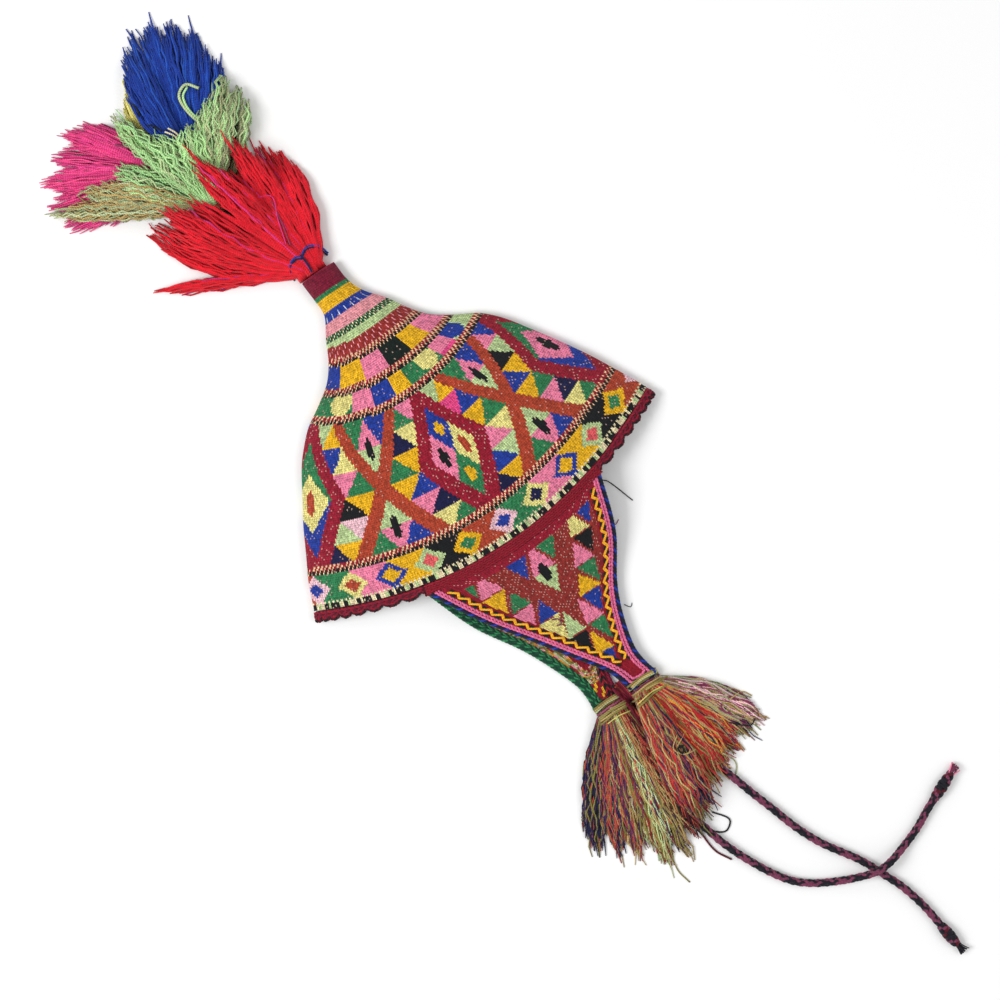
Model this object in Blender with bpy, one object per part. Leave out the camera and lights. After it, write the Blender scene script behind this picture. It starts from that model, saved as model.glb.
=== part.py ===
"""Knitted earflap hat with yarn tassels and plaited ties, lying on its side on a flat surface.

Metres, +Z up. The hat's own line runs along Y: the neck and its tassels point to +Y, the ear flaps and
ties to -Y. The origin is on the crown's underside, midway between the two corners of the rim.
"""

import math
from collections import namedtuple

import bmesh
import bpy
from mathutils import Vector
from mathutils.bvhtree import BVHTree

# Driving sizes
GAP = 0.0003  # clear space left between two pieces that touch
SEAM_GAP = 0.00045  # the same along X or Y, where the seam runs aslant
WALL = 0.0025  # the knitted fabric's thickness

RIM_WIDTH = 0.270  # the flattened crown, from one rim corner to the other
CROWN_HEIGHT = 0.1875  # rim corners to the neck's end
RIM_DROP = 0.0335  # how far the middle of the rim reaches below its corners
NECK_WIDTH = 0.0263
NECK_LEAN = -0.0052  # the neck's end bends to this side
NECK_RISE = 0.012  # thickness of the flattened neck
BELLY_RISE = 0.036  # height of the upper layer where it stands highest
RIM_RISE = 0.027  # height of the upper layer at the rim
FOLD_HEIGHT = 0.0055  # where the two layers turn into each other at the sides
FOLD_RUN = 0.009  # how far in from the side the underside comes to lie flat

EDGING_WIDTH = 0.0062
EDGING_THICKNESS = 0.0034
SCALLOP_DEPTH = 0.0022
SCALLOP_PITCH = 0.0105
SCALLOP_STEPS = 3

BINDING_WIDTH = 0.0055
BINDING_THICKNESS = 0.0034
FLAP_LENGTH = 0.1345  # from the flap's right top corner to its tip
FLAP_STACK_GAP = 0.0008  # between the two flaps where one lies on the other

TIE_DIAMETER = 0.0058
KNOT_LENGTH = 0.021
KNOT_DIAMETER = 0.0092
KNOT_SIDES = 10

RED_TASSEL_LENGTH = 0.102
GREEN_TASSEL_LENGTH = 0.104
PINK_TASSEL_LENGTH = 0.076
BLUE_TASSEL_LENGTH = 0.092
YELLOW_TASSEL_LENGTH = 0.060
UPPER_FLAP_TASSEL_LENGTH = 0.094
LOWER_FLAP_TASSEL_LENGTH = 0.108
STALK_WIDTH = 0.0030  # the cords that carry the tassels past the red one

LAY_CLEARANCE = 0.0009  # left under yarn that lies over another piece
LAY_SLOPE = 0.75  # the steepest that such yarn climbs
LOCK_STAGGER = 0.0009  # every other lock of a tassel lies this much higher than its neighbours

# Section of the edging and of the bindings: places across the band and over its middle, as shares of its
# width and thickness
BAND_PROFILE = ((0.0, 0.45), (0.65, 0.5), (1.0, 0.0), (0.65, -0.5), (0.0, -0.45))
# A lock of yarn: places along it, and its width and height there as shares of its full ones
LOCK_PLACES = (0.0, 0.4, 0.8, 1.0)
LOCK_WIDTHS = (0.42, 0.95, 1.0, 0.45)
LOCK_HEIGHTS = (0.9, 1.0, 0.65, 0.3)
LOCK_START = 0.1  # where a lock starts, ahead of its head's middle, as a share of the head's length
HEAD_FOOT = 0.6  # a head's foot, as a share of its full width
# A knot's outline: places along it and its swell there, as shares of its length and diameter
KNOT_PROFILE = ((0.0, 0.55), (0.15, 0.9), (0.4, 1.0), (0.7, 0.8), (0.9, 0.6), (1.0, 0.35))

# How finely the soft forms are faceted
CROWN_ROWS = 16
CROWN_COLUMNS = 32
FLAP_ROWS = 10
FLAP_COLUMNS = 8
LOCK_SIDES = 6
LOCK_ROWS = 5
HEAD_SIDES = 12
HEAD_ROWS = 4

# The crown's outline. height: share of CROWN_HEIGHT above the rim corners. flare: share of the way from
# the neck's half width to the rim's. lean: share of NECK_LEAN. rise: share of the way from the neck's
# thickness to the belly's.
Outline = namedtuple("Outline", "height flare lean rise")
CROWN_OUTLINE = [
    Outline(1.00, 0.000, 1.00, 0.00),
    Outline(0.92, 0.000, 0.85, 0.01),
    Outline(0.86, 0.020, 0.45, 0.03),
    Outline(0.79, 0.092, 0.12, 0.09),
    Outline(0.71, 0.162, 0.00, 0.20),
    Outline(0.65, 0.240, 0.00, 0.34),
    Outline(0.60, 0.350, 0.00, 0.48),
    Outline(0.56, 0.455, 0.00, 0.60),
    Outline(0.51, 0.538, 0.00, 0.72),
    Outline(0.45, 0.610, 0.00, 0.85),
    Outline(0.29, 0.768, 0.00, 1.00),
    Outline(0.11, 0.922, 0.00, 0.94),
    Outline(0.00, 1.000, 0.00, None),
]

# Soft dents and swells of the upper layer. across: share of the half width. along: share of the fabric's
# length from the neck. spread: size in those shares. lift: share of the layer's rise, negative for a dent.
Dent = namedtuple("Dent", "across along spread lift")
CROWN_DENTS = [
    Dent(-0.45, 0.62, 0.22, -0.10),
    Dent(0.20, 0.50, 0.18, -0.08),
    Dent(0.55, 0.80, 0.20, 0.08),
    Dent(-0.70, 0.95, 0.16, 0.12),
    Dent(0.78, 0.97, 0.10, -0.12),
]

# The two ear flaps. left, right: where its top corners meet the rim. tip: the middle of its tip.
# tip_half: half the width of the tip. Each is a share of the rim's half width.
Flap = namedtuple("Flap", "left right tip tip_half")
UPPER_FLAP = Flap(left=-0.470, right=0.568, tip=0.169, tip_half=0.0793)
LOWER_FLAP = Flap(left=-0.486, right=0.470, tip=-0.040, tip_half=0.0741)

# A flap's outline. down: share of its length. spread: share of the way from the tip's half width to the
# top's. sway: share of the way from the middle of the top to the tip's middle.
FlapRow = namedtuple("FlapRow", "down spread sway")
FLAP_OUTLINE = [
    FlapRow(0.00, 1.000, 0.00),
    FlapRow(0.29, 0.730, 0.22),
    FlapRow(0.53, 0.400, 0.26),
    FlapRow(0.70, 0.205, 0.42),
    FlapRow(0.88, 0.035, 0.72),
    FlapRow(1.00, 0.000, 1.00),
]
FLAP_LANDING = 0.55  # share of the upper flap's length over which it comes down from the rim

# A tassel: a bound head and the locks of yarn that leave it. facing: the way its head faces, and turn:
# the way its yarn points, in degrees counterclockwise from +Y. The head's sizes, lock_width and
# lock_height, of one lock, are shares of the tassel's length.
Head = namedtuple("Head", "width length height")
Tassel = namedtuple("Tassel", "length head facing turn lock_width lock_height locks")

# root: where the lock leaves the head, as a share of its half width, + to the right of the tassel's way.
# angle: degrees to the left of that way. reach: share of the tassel's length. bow: how far the lock
# bulges to its left, as a share of its own length. width: share of the tassel's lock width.
Lock = namedtuple("Lock", "root angle reach bow width")

UPPER_FLAP_TASSEL = Tassel(
    UPPER_FLAP_TASSEL_LENGTH, Head(0.2553, 0.0957, 0.1489), 180.0, 200.0, 0.1702, 0.0745,
    [
        Lock(-0.80, 15.0, 0.75, 0.05, 1.00),
        Lock(-0.65, 7.0, 0.75, 0.03, 1.05),
        Lock(-0.40, -1.0, 0.74, 0.02, 1.05),
        Lock(-0.15, -8.0, 0.74, 0.02, 1.05),
        Lock(0.15, -16.0, 0.83, 0.01, 1.05),
        Lock(0.45, -22.0, 0.90, 0.00, 1.05),
        Lock(0.70, -27.0, 0.95, -0.01, 1.00),
    ],
)
LOWER_FLAP_TASSEL = Tassel(
    LOWER_FLAP_TASSEL_LENGTH, Head(0.213, 0.0741, 0.1019), 180.0, 172.0, 0.1481, 0.0602,
    [
        Lock(-0.70, 11.0, 0.84, 0.01, 1.00),
        Lock(-0.45, 5.5, 0.90, 0.00, 1.05),
        Lock(-0.15, 0.5, 0.95, 0.00, 1.05),
        Lock(0.10, -5.0, 0.98, 0.00, 1.05),
        Lock(0.35, -12.5, 0.87, -0.01, 1.05),
        Lock(0.55, -20.0, 0.82, -0.02, 1.05),
        Lock(0.75, -28.0, 0.80, -0.03, 1.05),
    ],
)
RED_TASSEL = Tassel(
    RED_TASSEL_LENGTH, Head(0.2598, 0.1373, 0.1471), 0.0, 18.0, 0.1863, 0.098,
    [
        Lock(-0.80, 45.0, 0.88, 0.00, 0.45),
        Lock(-0.75, 20.0, 0.96, 0.08, 1.10),
        Lock(-0.50, 14.0, 0.92, 0.05, 1.10),
        Lock(-0.30, 9.0, 0.80, 0.03, 1.10),
        Lock(0.00, -4.5, 0.95, 0.00, 0.95),
        Lock(0.15, -8.5, 0.79, 0.00, 1.10),
        Lock(0.35, -18.0, 0.89, 0.00, 1.00),
        Lock(0.55, -24.0, 0.81, -0.02, 1.00),
        Lock(0.70, -30.0, 0.72, -0.05, 0.80),
    ],
)
GREEN_TASSEL = Tassel(
    GREEN_TASSEL_LENGTH, Head(0.2115, 0.2163, 0.1538), 6.0, 6.0, 0.1731, 0.0625,
    [
        Lock(-0.60, 51.5, 0.93, 0.00, 0.75),
        Lock(-0.55, 42.0, 0.73, 0.00, 1.05),
        Lock(-0.40, 28.0, 0.57, 0.00, 1.10),
        Lock(-0.20, 7.0, 0.78, 0.00, 0.80),
        Lock(0.00, -2.0, 0.50, 0.00, 1.10),
        Lock(0.20, -22.0, 0.47, 0.00, 1.10),
        Lock(0.35, -38.0, 0.59, 0.00, 1.10),
        Lock(0.50, -43.0, 0.72, 0.00, 1.05),
        Lock(0.60, -51.0, 0.67, -0.04, 1.05),
    ],
)
PINK_TASSEL = Tassel(
    PINK_TASSEL_LENGTH, Head(0.1974, 0.1184, 0.1053), 62.0, 62.0, 0.2171, 0.1316,
    [
        Lock(-0.60, 32.0, 0.56, 0.05, 0.90),
        Lock(-0.45, 23.0, 0.82, 0.04, 1.05),
        Lock(-0.20, 11.5, 0.89, 0.02, 1.05),
        Lock(0.00, -0.5, 0.92, 0.00, 1.05),
        Lock(0.20, -14.5, 0.84, -0.01, 1.10),
        Lock(0.45, -28.0, 0.77, -0.02, 1.05),
        Lock(0.65, -36.0, 0.65, -0.03, 0.90),
    ],
)
BLUE_TASSEL = Tassel(
    BLUE_TASSEL_LENGTH, Head(0.25, 0.1087, 0.087), -16.0, -16.0, 0.1957, 0.1196,
    [
        Lock(-0.85, 13.5, 0.65, 0.05, 0.90),
        Lock(-0.60, 12.0, 0.82, 0.03, 1.00),
        Lock(-0.30, 7.5, 0.90, 0.00, 1.05),
        Lock(0.00, 2.0, 0.94, 0.00, 1.05),
        Lock(0.25, -5.0, 0.90, 0.00, 1.05),
        Lock(0.45, -13.5, 0.81, -0.01, 1.05),
        Lock(0.65, -22.0, 0.65, -0.03, 1.00),
    ],
)
YELLOW_TASSEL = Tassel(
    YELLOW_TASSEL_LENGTH, Head(0.15, 0.15, 0.1167), 6.0, 6.0, 0.1833, 0.1167,
    [
        Lock(-0.35, -4.5, 0.78, 0.05, 1.00),
        Lock(0.35, -9.5, 0.97, 0.05, 1.00),
    ],
)

# Where the tassels' heads lie, measured from the neck's end as shares of the red tassel's length, because
# the others start under its tips. The red one is bound against the neck.
RED_SHIFT = -0.0275
GREEN_PLACE = Vector((-0.3333, 0.7745))
PINK_PLACE = Vector((-0.5392, 1.1569))
BLUE_PLACE = Vector((-0.2255, 1.1275))
YELLOW_PLACE = Vector((-0.3824, 1.1863))

# The ties' routes, from inside the tassel's yarn to the knot, as seen from above
UPPER_TIE_ROUTE = [
    (0.0232, -0.1735),
    (0.0242, -0.1950),
    (0.0280, -0.2200),
    (0.0337, -0.2412),
    (0.0374, -0.2524),
    (0.0415, -0.2663),
    (0.0466, -0.2817),
    (0.0513, -0.2970),
    (0.0561, -0.3096),
    (0.0616, -0.3208),
    (0.0686, -0.3319),
    (0.0750, -0.3417),
    (0.0801, -0.3515),
    (0.0848, -0.3626),
    (0.0896, -0.3738),
    (0.0932, -0.3864),
    (0.0954, -0.3975),
    (0.0971, -0.4120),
]
LOWER_TIE_ROUTE = [
    (-0.0054, -0.1770),
    (-0.0058, -0.2050),
    (-0.0038, -0.2350),
    (0.0002, -0.2587),
    (0.0047, -0.2775),
    (0.0094, -0.2915),
    (0.0150, -0.3040),
    (0.0214, -0.3166),
    (0.0309, -0.3305),
    (0.0415, -0.3395),
    (0.0541, -0.3467),
    (0.0667, -0.3518),
    (0.0806, -0.3557),
    (0.0918, -0.3559),
    (0.1057, -0.3529),
    (0.1197, -0.3481),
    (0.1337, -0.3411),
    (0.1420, -0.3375),
]
TIE_CROSSING = Vector((0.0820, -0.3559))  # the lower flap's tie passes over the upper flap's here
CROSSING_RUN = 0.030  # the hump starts and ends this far from the crossing
CROSSING_RISE = 0.0073


def clear_scene():
    """Removes what the scene holds at the start."""
    for old in list(bpy.data.objects):
        bpy.data.objects.remove(old, do_unlink=True)


def material(name, color, roughness):
    """A plain yarn finish."""
    made = bpy.data.materials.new(name)
    made.use_nodes = True
    shader = made.node_tree.nodes["Principled BSDF"]
    shader.inputs["Base Color"].default_value = (*color, 1.0)
    shader.inputs["Roughness"].default_value = roughness
    shader.inputs["Metallic"].default_value = 0.0
    made.diffuse_color = (*color, 1.0)
    return made


def ease(share):
    """0 to 1 with a soft start and end."""
    share = min(1.0, max(0.0, share))
    return share * share * (3.0 - 2.0 * share)


def through(places, values, at):
    """A smooth curve through values given at rising places, read at one place."""
    at = min(places[-1], max(places[0], at))
    i = 0
    while i < len(places) - 2 and at > places[i + 1]:
        i += 1

    def slope(k):
        before, after = max(0, k - 1), min(len(places) - 1, k + 1)
        return (values[after] - values[before]) / (places[after] - places[before])

    run = places[i + 1] - places[i]
    t = (at - places[i]) / run
    return (
        (2 * t**3 - 3 * t**2 + 1) * values[i]
        + (t**3 - 2 * t**2 + t) * run * slope(i)
        + (3 * t**2 - 2 * t**3) * values[i + 1]
        + (t**3 - t**2) * run * slope(i + 1)
    )


def object_from(name, mesh_data, finish):
    """A named object with its material, from a bmesh."""
    mesh = bpy.data.meshes.new(name)
    bmesh.ops.recalc_face_normals(mesh_data, faces=mesh_data.faces)
    mesh_data.to_mesh(mesh)
    mesh_data.free()
    mesh.materials.append(finish)
    mesh.shade_smooth()
    made = bpy.data.objects.new(name, mesh)
    bpy.context.scene.collection.objects.link(made)
    return made


def add_loop(mesh_data, points):
    """The points as vertices."""
    return [mesh_data.verts.new(p) for p in points]


def bridge(mesh_data, first, second, closed=True):
    """Quads between two loops of as many vertices."""
    count = len(first)
    for i in range(count if closed else count - 1):
        j = (i + 1) % count
        mesh_data.faces.new((first[i], first[j], second[j], second[i]))


def loft(name, loops, finish):
    """A solid skinned over closed loops, with its two ends capped."""
    mesh_data = bmesh.new()
    rings = [add_loop(mesh_data, loop) for loop in loops]
    for first, second in zip(rings, rings[1:]):
        bridge(mesh_data, first, second)
    mesh_data.faces.new(rings[0])
    mesh_data.faces.new(rings[-1])
    return object_from(name, mesh_data, finish)


# Crown


def outline_column(column):
    """The crown outline's places from rim (0) to neck (1), and one column there, lowest place first."""
    rows = list(reversed(CROWN_OUTLINE))
    return [row.height for row in rows], [getattr(row, column) for row in rows]


def side_point(height):
    """Half width and Y of the crown's side at a share of its height."""
    flare = through(*outline_column("flare"), height)
    half = NECK_WIDTH / 2 + (RIM_WIDTH - NECK_WIDTH) / 2 * flare
    return half, CROWN_HEIGHT * height


def side_heights(steps=200):
    """Shares of the crown's height, evenly spaced along its side from the neck to the rim."""
    heights = [1.0 - i / steps for i in range(steps + 1)]
    points = [Vector(side_point(h)) for h in heights]
    lengths = [0.0]
    for a, b in zip(points, points[1:]):
        lengths.append(lengths[-1] + (b - a).length)
    return [length / lengths[-1] for length in lengths], heights


SIDE_SHARES, SIDE_HEIGHTS = side_heights()


def crown_row(share):
    """Half width, side Y, middle Y, sideways shift and rise of the fabric's row at a share of its length."""
    height = through(SIDE_SHARES, SIDE_HEIGHTS, share)
    half, side_y = side_point(height)
    middle_y = CROWN_HEIGHT - share * (CROWN_HEIGHT + RIM_DROP)
    places, shares = outline_column("rise")
    shares[0] = (RIM_RISE - NECK_RISE) / (BELLY_RISE - NECK_RISE)
    rise = NECK_RISE + (BELLY_RISE - NECK_RISE) * through(places, shares, height)
    shift = NECK_LEAN * through(*outline_column("lean"), height)
    return half, side_y, min(middle_y, side_y), shift, rise


def dent_at(across, along):
    """The share of its rise by which the upper layer is lifted or pressed in at one place."""
    total = 0.0
    for dent in CROWN_DENTS:
        far = math.hypot(across - dent.across, along - dent.along) / dent.spread
        total += dent.lift * math.exp(-far * far)
    return total


def crown_point(share, turn, inset=0.0):
    """A point of the crown. turn runs once round: 0 at the right fold, 0.25 in the middle of the upper
    layer, 0.5 at the left fold, 0.75 in the middle of the underside. inset is the depth in the wall."""
    half, side_y, middle_y, shift, rise = crown_row(share)
    angle = 2 * math.pi * turn
    across = math.cos(angle)
    fold = min(FOLD_HEIGHT, rise / 2)
    if math.sin(angle) >= 0:
        swell = abs(math.sin(angle)) ** 1.5
        lift = 1.0 + dent_at(across, share)
        z = fold + (rise * lift - fold - inset) * swell
    else:
        from_side = (1.0 - abs(across)) * half / min(FOLD_RUN, 0.8 * half)
        q = 1.0 - min(1.0, from_side)
        z = inset + (fold - inset) * (1.0 - math.sqrt(1.0 - q * q))
    y = side_y + (middle_y - side_y) * (1.0 - across * across)
    return Vector((shift + (half - inset) * across, y, z))


def build_crown(finish):
    """The hollow crown: an outer and an inner skin joined round the rim, each closed at the neck."""
    mesh_data = bmesh.new()
    turns = [i / CROWN_COLUMNS for i in range(CROWN_COLUMNS)]
    skins = []
    for inset, start in ((0.0, 0.0), (WALL, WALL / (CROWN_HEIGHT + RIM_DROP))):
        loops = []
        for row in range(CROWN_ROWS + 1):
            share = start + (1.0 - start) * row / CROWN_ROWS
            loops.append(add_loop(mesh_data, [crown_point(share, t, inset) for t in turns]))
        for first, second in zip(loops, loops[1:]):
            bridge(mesh_data, first, second)
        mesh_data.faces.new(loops[0])
        skins.append(loops)
    bridge(mesh_data, skins[0][-1], skins[1][-1])
    return object_from("crown", mesh_data, finish)


# Rim edging


def rim_corner(column):
    """The wall's middle, the way on down the fabric and the outward normal at one column of the rim."""
    turn = column / CROWN_COLUMNS
    outer, inner = crown_point(1.0, turn), crown_point(1.0, turn, WALL)
    before = crown_point(1.0 - 1.0 / CROWN_ROWS, turn)
    return (outer + inner) / 2, (outer - before).normalized(), (outer - inner).normalized()


def rim_frame(turn):
    """The same as rim_corner, anywhere along the faceted rim."""
    at = turn * CROWN_COLUMNS
    low = math.floor(at)
    first, second = rim_corner(low % CROWN_COLUMNS), rim_corner((low + 1) % CROWN_COLUMNS)
    return tuple(a.lerp(b, at - low) for a, b in zip(first, second))


def rim_length():
    """The way round the rim."""
    steps = 240
    points = [crown_point(1.0, i / steps) for i in range(steps)]
    return sum((points[i] - points[i - 1]).length for i in range(steps))


def rim_turn(x, upper):
    """The place round the rim that has this X, on the upper or the lower layer."""
    turn = math.acos(min(1.0, max(-1.0, x / (RIM_WIDTH / 2)))) / (2 * math.pi)
    return turn if upper else 1.0 - turn


def behind_flap(turn):
    """True where a flap joins the rim, so that the edging is straight there."""
    for flap, upper in ((UPPER_FLAP, True), (LOWER_FLAP, False)):
        left = rim_turn(flap.left * RIM_WIDTH / 2 - SCALLOP_PITCH, upper)
        right = rim_turn(flap.right * RIM_WIDTH / 2 + SCALLOP_PITCH, upper)
        if min(left, right) < turn < max(left, right):
            return True
    return False


def edging_width(turn, scallops):
    """The edging's width: straight at the flaps, scalloped elsewhere."""
    if behind_flap(turn):
        return EDGING_WIDTH
    return EDGING_WIDTH + SCALLOP_DEPTH * (abs(math.sin(math.pi * turn * scallops)) - 0.5)


def build_edging(finish):
    """The crocheted edging round the rim, scalloped where no flap joins it."""
    scallops = round(rim_length() / SCALLOP_PITCH)
    steps = scallops * SCALLOP_STEPS
    loops = []
    for i in range(steps):
        turn = i / steps
        middle, along, out = rim_frame(turn)
        width = edging_width(turn, scallops)
        loop = []
        for reach, rise in BAND_PROFILE:
            point = middle + along * (2 * GAP + reach * width) + out * (rise * EDGING_THICKNESS)
            point.z = max(0.0, point.z)
            loop.append(point)
        loops.append(loop)
    mesh_data = bmesh.new()
    rings = [add_loop(mesh_data, loop) for loop in loops]
    for first, second in zip(rings, rings[1:] + rings[:1]):
        bridge(mesh_data, first, second)
    return object_from("rim_edging", mesh_data, finish)


# Ear flaps


def flap_row(flap, down):
    """Middle X and half width of a flap at a share of its length, its binding included."""
    places = [row.down for row in FLAP_OUTLINE]
    spread = through(places, [row.spread for row in FLAP_OUTLINE], down)
    sway = through(places, [row.sway for row in FLAP_OUTLINE], down)
    rim_half = RIM_WIDTH / 2
    top_half = (flap.right - flap.left) / 2 * rim_half
    top_x = (flap.right + flap.left) / 2 * rim_half
    tip_half = flap.tip_half * RIM_WIDTH / 2
    half = tip_half + (top_half - tip_half) * spread
    return top_x + (flap.tip * rim_half - top_x) * sway, half


def flap_x(flap, across, down, beyond):
    """X of a point of the flap: across runs from -1 at the panel's left side to 1 at its right."""
    middle, half = flap_row(flap, down)
    return middle + across * (half - BINDING_WIDTH - SEAM_GAP) + math.copysign(beyond, across)


def flap_tip_y():
    """Y of the flaps' tips."""
    return crown_point(1.0, rim_turn(UPPER_FLAP.right * RIM_WIDTH / 2, True)).y - FLAP_LENGTH


def flap_point(flap, upper, across, down, beyond=0.0):
    """The middle of a flap's thickness. down runs from the rim to the tip, and beyond is a distance past
    the panel's side."""
    middle, along, _ = rim_frame(rim_turn(flap_x(flap, across, 0.0, beyond), upper))
    top = middle + along * (EDGING_WIDTH + 3 * GAP)
    x = flap_x(flap, across, down, beyond)
    y = (top.y - WALL * abs(along.z) - SEAM_GAP) * (1.0 - down) + flap_tip_y() * down
    if not upper:
        return Vector((x, y, BINDING_THICKNESS / 2))
    rest = BINDING_THICKNESS * 1.5 + FLAP_STACK_GAP
    return Vector((x, y, rest + (top.z - rest) * (1.0 - ease(down / FLAP_LANDING))))


def build_flap(name, flap, upper, finish):
    """One knitted flap: a thin curved panel."""
    mesh_data = bmesh.new()
    faces = []
    for side in (0.5, -0.5):
        rows = []
        for i in range(FLAP_ROWS + 1):
            points = []
            for j in range(FLAP_COLUMNS + 1):
                point = flap_point(flap, upper, -1.0 + 2.0 * j / FLAP_COLUMNS, i / FLAP_ROWS)
                points.append(point + Vector((0.0, 0.0, side * WALL)))
            rows.append(add_loop(mesh_data, points))
        for first, second in zip(rows, rows[1:]):
            bridge(mesh_data, first, second, closed=False)
        faces.append(rows)
    front, back = faces
    bridge(mesh_data, front[0], back[0], closed=False)
    bridge(mesh_data, front[-1], back[-1], closed=False)
    for column in (0, -1):
        edge_front = [row[column] for row in front]
        edge_back = [row[column] for row in back]
        bridge(mesh_data, edge_front, edge_back, closed=False)
    return object_from(name, mesh_data, finish)


def build_binding(name, flap, upper, finish):
    """The plaited band sewn along a flap's two sides and across its tip, as one strip."""
    inner, outer = [], []
    downs = [i / FLAP_ROWS for i in range(FLAP_ROWS + 1)]
    for across, order in ((-1.0, downs), (1.0, downs[::-1])):
        for down in order:
            near = flap_point(flap, upper, across, down, SEAM_GAP)
            far = flap_point(flap, upper, across, down, SEAM_GAP + BINDING_WIDTH)
            if down == 1.0:
                near.y -= SEAM_GAP
                far.y -= SEAM_GAP + BINDING_WIDTH
            inner.append(near)
            outer.append(far)
    loops = []
    for near, far in zip(inner, outer):
        loop = []
        for reach, rise in BAND_PROFILE:
            loop.append(near.lerp(far, reach) + Vector((0.0, 0.0, rise * BINDING_THICKNESS)))
        loops.append(loop)
    return loft(name, loops, finish)


# Tassels


def way_of(turn):
    """The direction that many degrees counterclockwise from +Y, and the direction to its right."""
    ahead = Vector((-math.sin(math.radians(turn)), math.cos(math.radians(turn))))
    return ahead, Vector((ahead.y, -ahead.x))


def surface_of(item):
    """A piece's surface, to find what lies under another."""
    item_data = item.evaluated_get(bpy.context.evaluated_depsgraph_get()).to_mesh()
    points = [v.co.copy() for v in item_data.vertices]
    return BVHTree.FromPolygons(points, [tuple(p.vertices) for p in item_data.polygons])


def height_over(below, place):
    """The height at which yarn at this place clears the pieces below it, or the surface they rest on."""
    highest = 0.0
    for surface in below:
        hit = surface.ray_cast(Vector((place.x, place.y, 1.0)), Vector((0.0, 0.0, -1.0)))[0]
        if hit is not None:
            highest = max(highest, hit.z + LAY_CLEARANCE)
    return highest


def head_swell(height):
    """A head's width at a share of its height, as a share of its full width."""
    return HEAD_FOOT + (1.0 - HEAD_FOOT) * math.sqrt(max(0.0, 1.0 - (2.0 * height - 1.0) ** 2))


def head_solid(name, place, turn, head, finish):
    """A flattened bun of bound yarn, standing on the surface. place is the middle of its foot."""
    ahead, aside = way_of(turn)
    loops = []
    for row in range(HEAD_ROWS + 1):
        height = row / HEAD_ROWS
        swell = head_swell(height)
        loop = []
        for i in range(HEAD_SIDES):
            angle = 2 * math.pi * i / HEAD_SIDES
            flat = aside * (math.cos(angle) * head.width) + ahead * (math.sin(angle) * head.length)
            flat = place + flat * (swell / 2)
            loop.append(Vector((flat.x, flat.y, head.height * height)))
        loops.append(loop)
    return loft(name, loops, finish)


def head_size(tassel):
    """The head's own width, length and height."""
    return Head(*(share * tassel.length for share in tassel.head))


def lock_line(tassel, lock, place):
    """The lock's middle line as seen from above: its start, a point that bends it, and its tip."""
    head = head_size(tassel)
    _, aside = way_of(tassel.facing)
    ahead, right = way_of(tassel.turn + lock.angle)
    start = place + aside * (lock.root * head.width / 2) + ahead * (LOCK_START * head.length)
    tip = start + ahead * (tassel.length * lock.reach)
    bend = (start + tip) / 2 - right * (2 * lock.bow * tassel.length * lock.reach)
    return start, bend, tip


def lock_ring(line, tassel, lock, q):
    """Place, sideways direction, width and thickness of a lock at a share of its length."""
    start, bend, tip = line
    place = start * (1 - q) ** 2 + bend * 2 * q * (1 - q) + tip * q * q
    way = ((bend - start) * (1 - q) + (tip - bend) * q).normalized()
    wide = tassel.length * tassel.lock_width * lock.width * through(LOCK_PLACES, LOCK_WIDTHS, q)
    thick = tassel.length * tassel.lock_height * through(LOCK_PLACES, LOCK_HEIGHTS, q)
    return place, Vector((way.y, -way.x)), wide, thick


def lock_solid(name, place, tassel, lock, below, lift, finish):
    """One lock of yarn, from inside the head to its tip, laid over the pieces below it."""
    line = lock_line(tassel, lock, place)
    step = 1.0 / LOCK_ROWS
    lows = []
    for row in range(LOCK_ROWS + 1):
        low = 0.0
        for near in (-1.0, -0.75, -0.5, -0.25, 0.0, 0.25, 0.5, 0.75, 1.0):
            q = min(1.0, max(0.0, (row + near) * step))
            spot, side, wide, _ = lock_ring(line, tassel, lock, q)
            for reach in (-0.6, -0.4, -0.2, 0.0, 0.2, 0.4, 0.6):
                low = max(low, height_over(below, spot + side * (reach * wide)))
        lows.append(low)
    climb = LAY_SLOPE * tassel.length * lock.reach * step
    for order in (range(1, LOCK_ROWS + 1), range(LOCK_ROWS - 1, -1, -1)):
        for row in order:
            neighbour = row - 1 if order.step > 0 else row + 1
            lows[row] = max(lows[row], lows[neighbour] - climb)
    loops = []
    for row, low in enumerate(lows):
        spot, side, wide, thick = lock_ring(line, tassel, lock, row * step)
        loop = []
        for i in range(LOCK_SIDES):
            angle = 2 * math.pi * (i + 0.5) / LOCK_SIDES
            flat = spot + side * (math.cos(angle) / math.cos(math.pi / LOCK_SIDES) * wide / 2)
            loop.append(Vector((flat.x, flat.y, low + lift + thick / 2 * (1.0 + math.sin(angle)))))
        loops.append(loop)
    return loft(name, loops, finish)


def stalk_solid(name, start, end, finish):
    """The short cord that carries a tassel, flat on the surface."""
    way = (end - start).normalized()
    side = Vector((way.y, -way.x))
    loops = []
    for spot in (start, end):
        loop = []
        for i in range(LOCK_SIDES):
            angle = 2 * math.pi * i / LOCK_SIDES
            flat = spot + side * (math.cos(angle) * STALK_WIDTH / 2)
            loop.append(Vector((flat.x, flat.y, STALK_WIDTH / 2 * (1.0 + math.sin(angle)))))
        loops.append(loop)
    return loft(name, loops, finish)


def shells(mesh_data):
    """The mesh's vertices, grouped into those that faces join, the largest group first."""
    left = set(mesh_data.verts)
    groups = []
    while left:
        group, edge = set(), {left.pop()}
        while edge:
            group |= edge
            edge = {other.other_vert(v) for v in edge for other in v.link_edges} - group
        left -= group
        groups.append(group)
    return sorted(groups, key=len, reverse=True)


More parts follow.
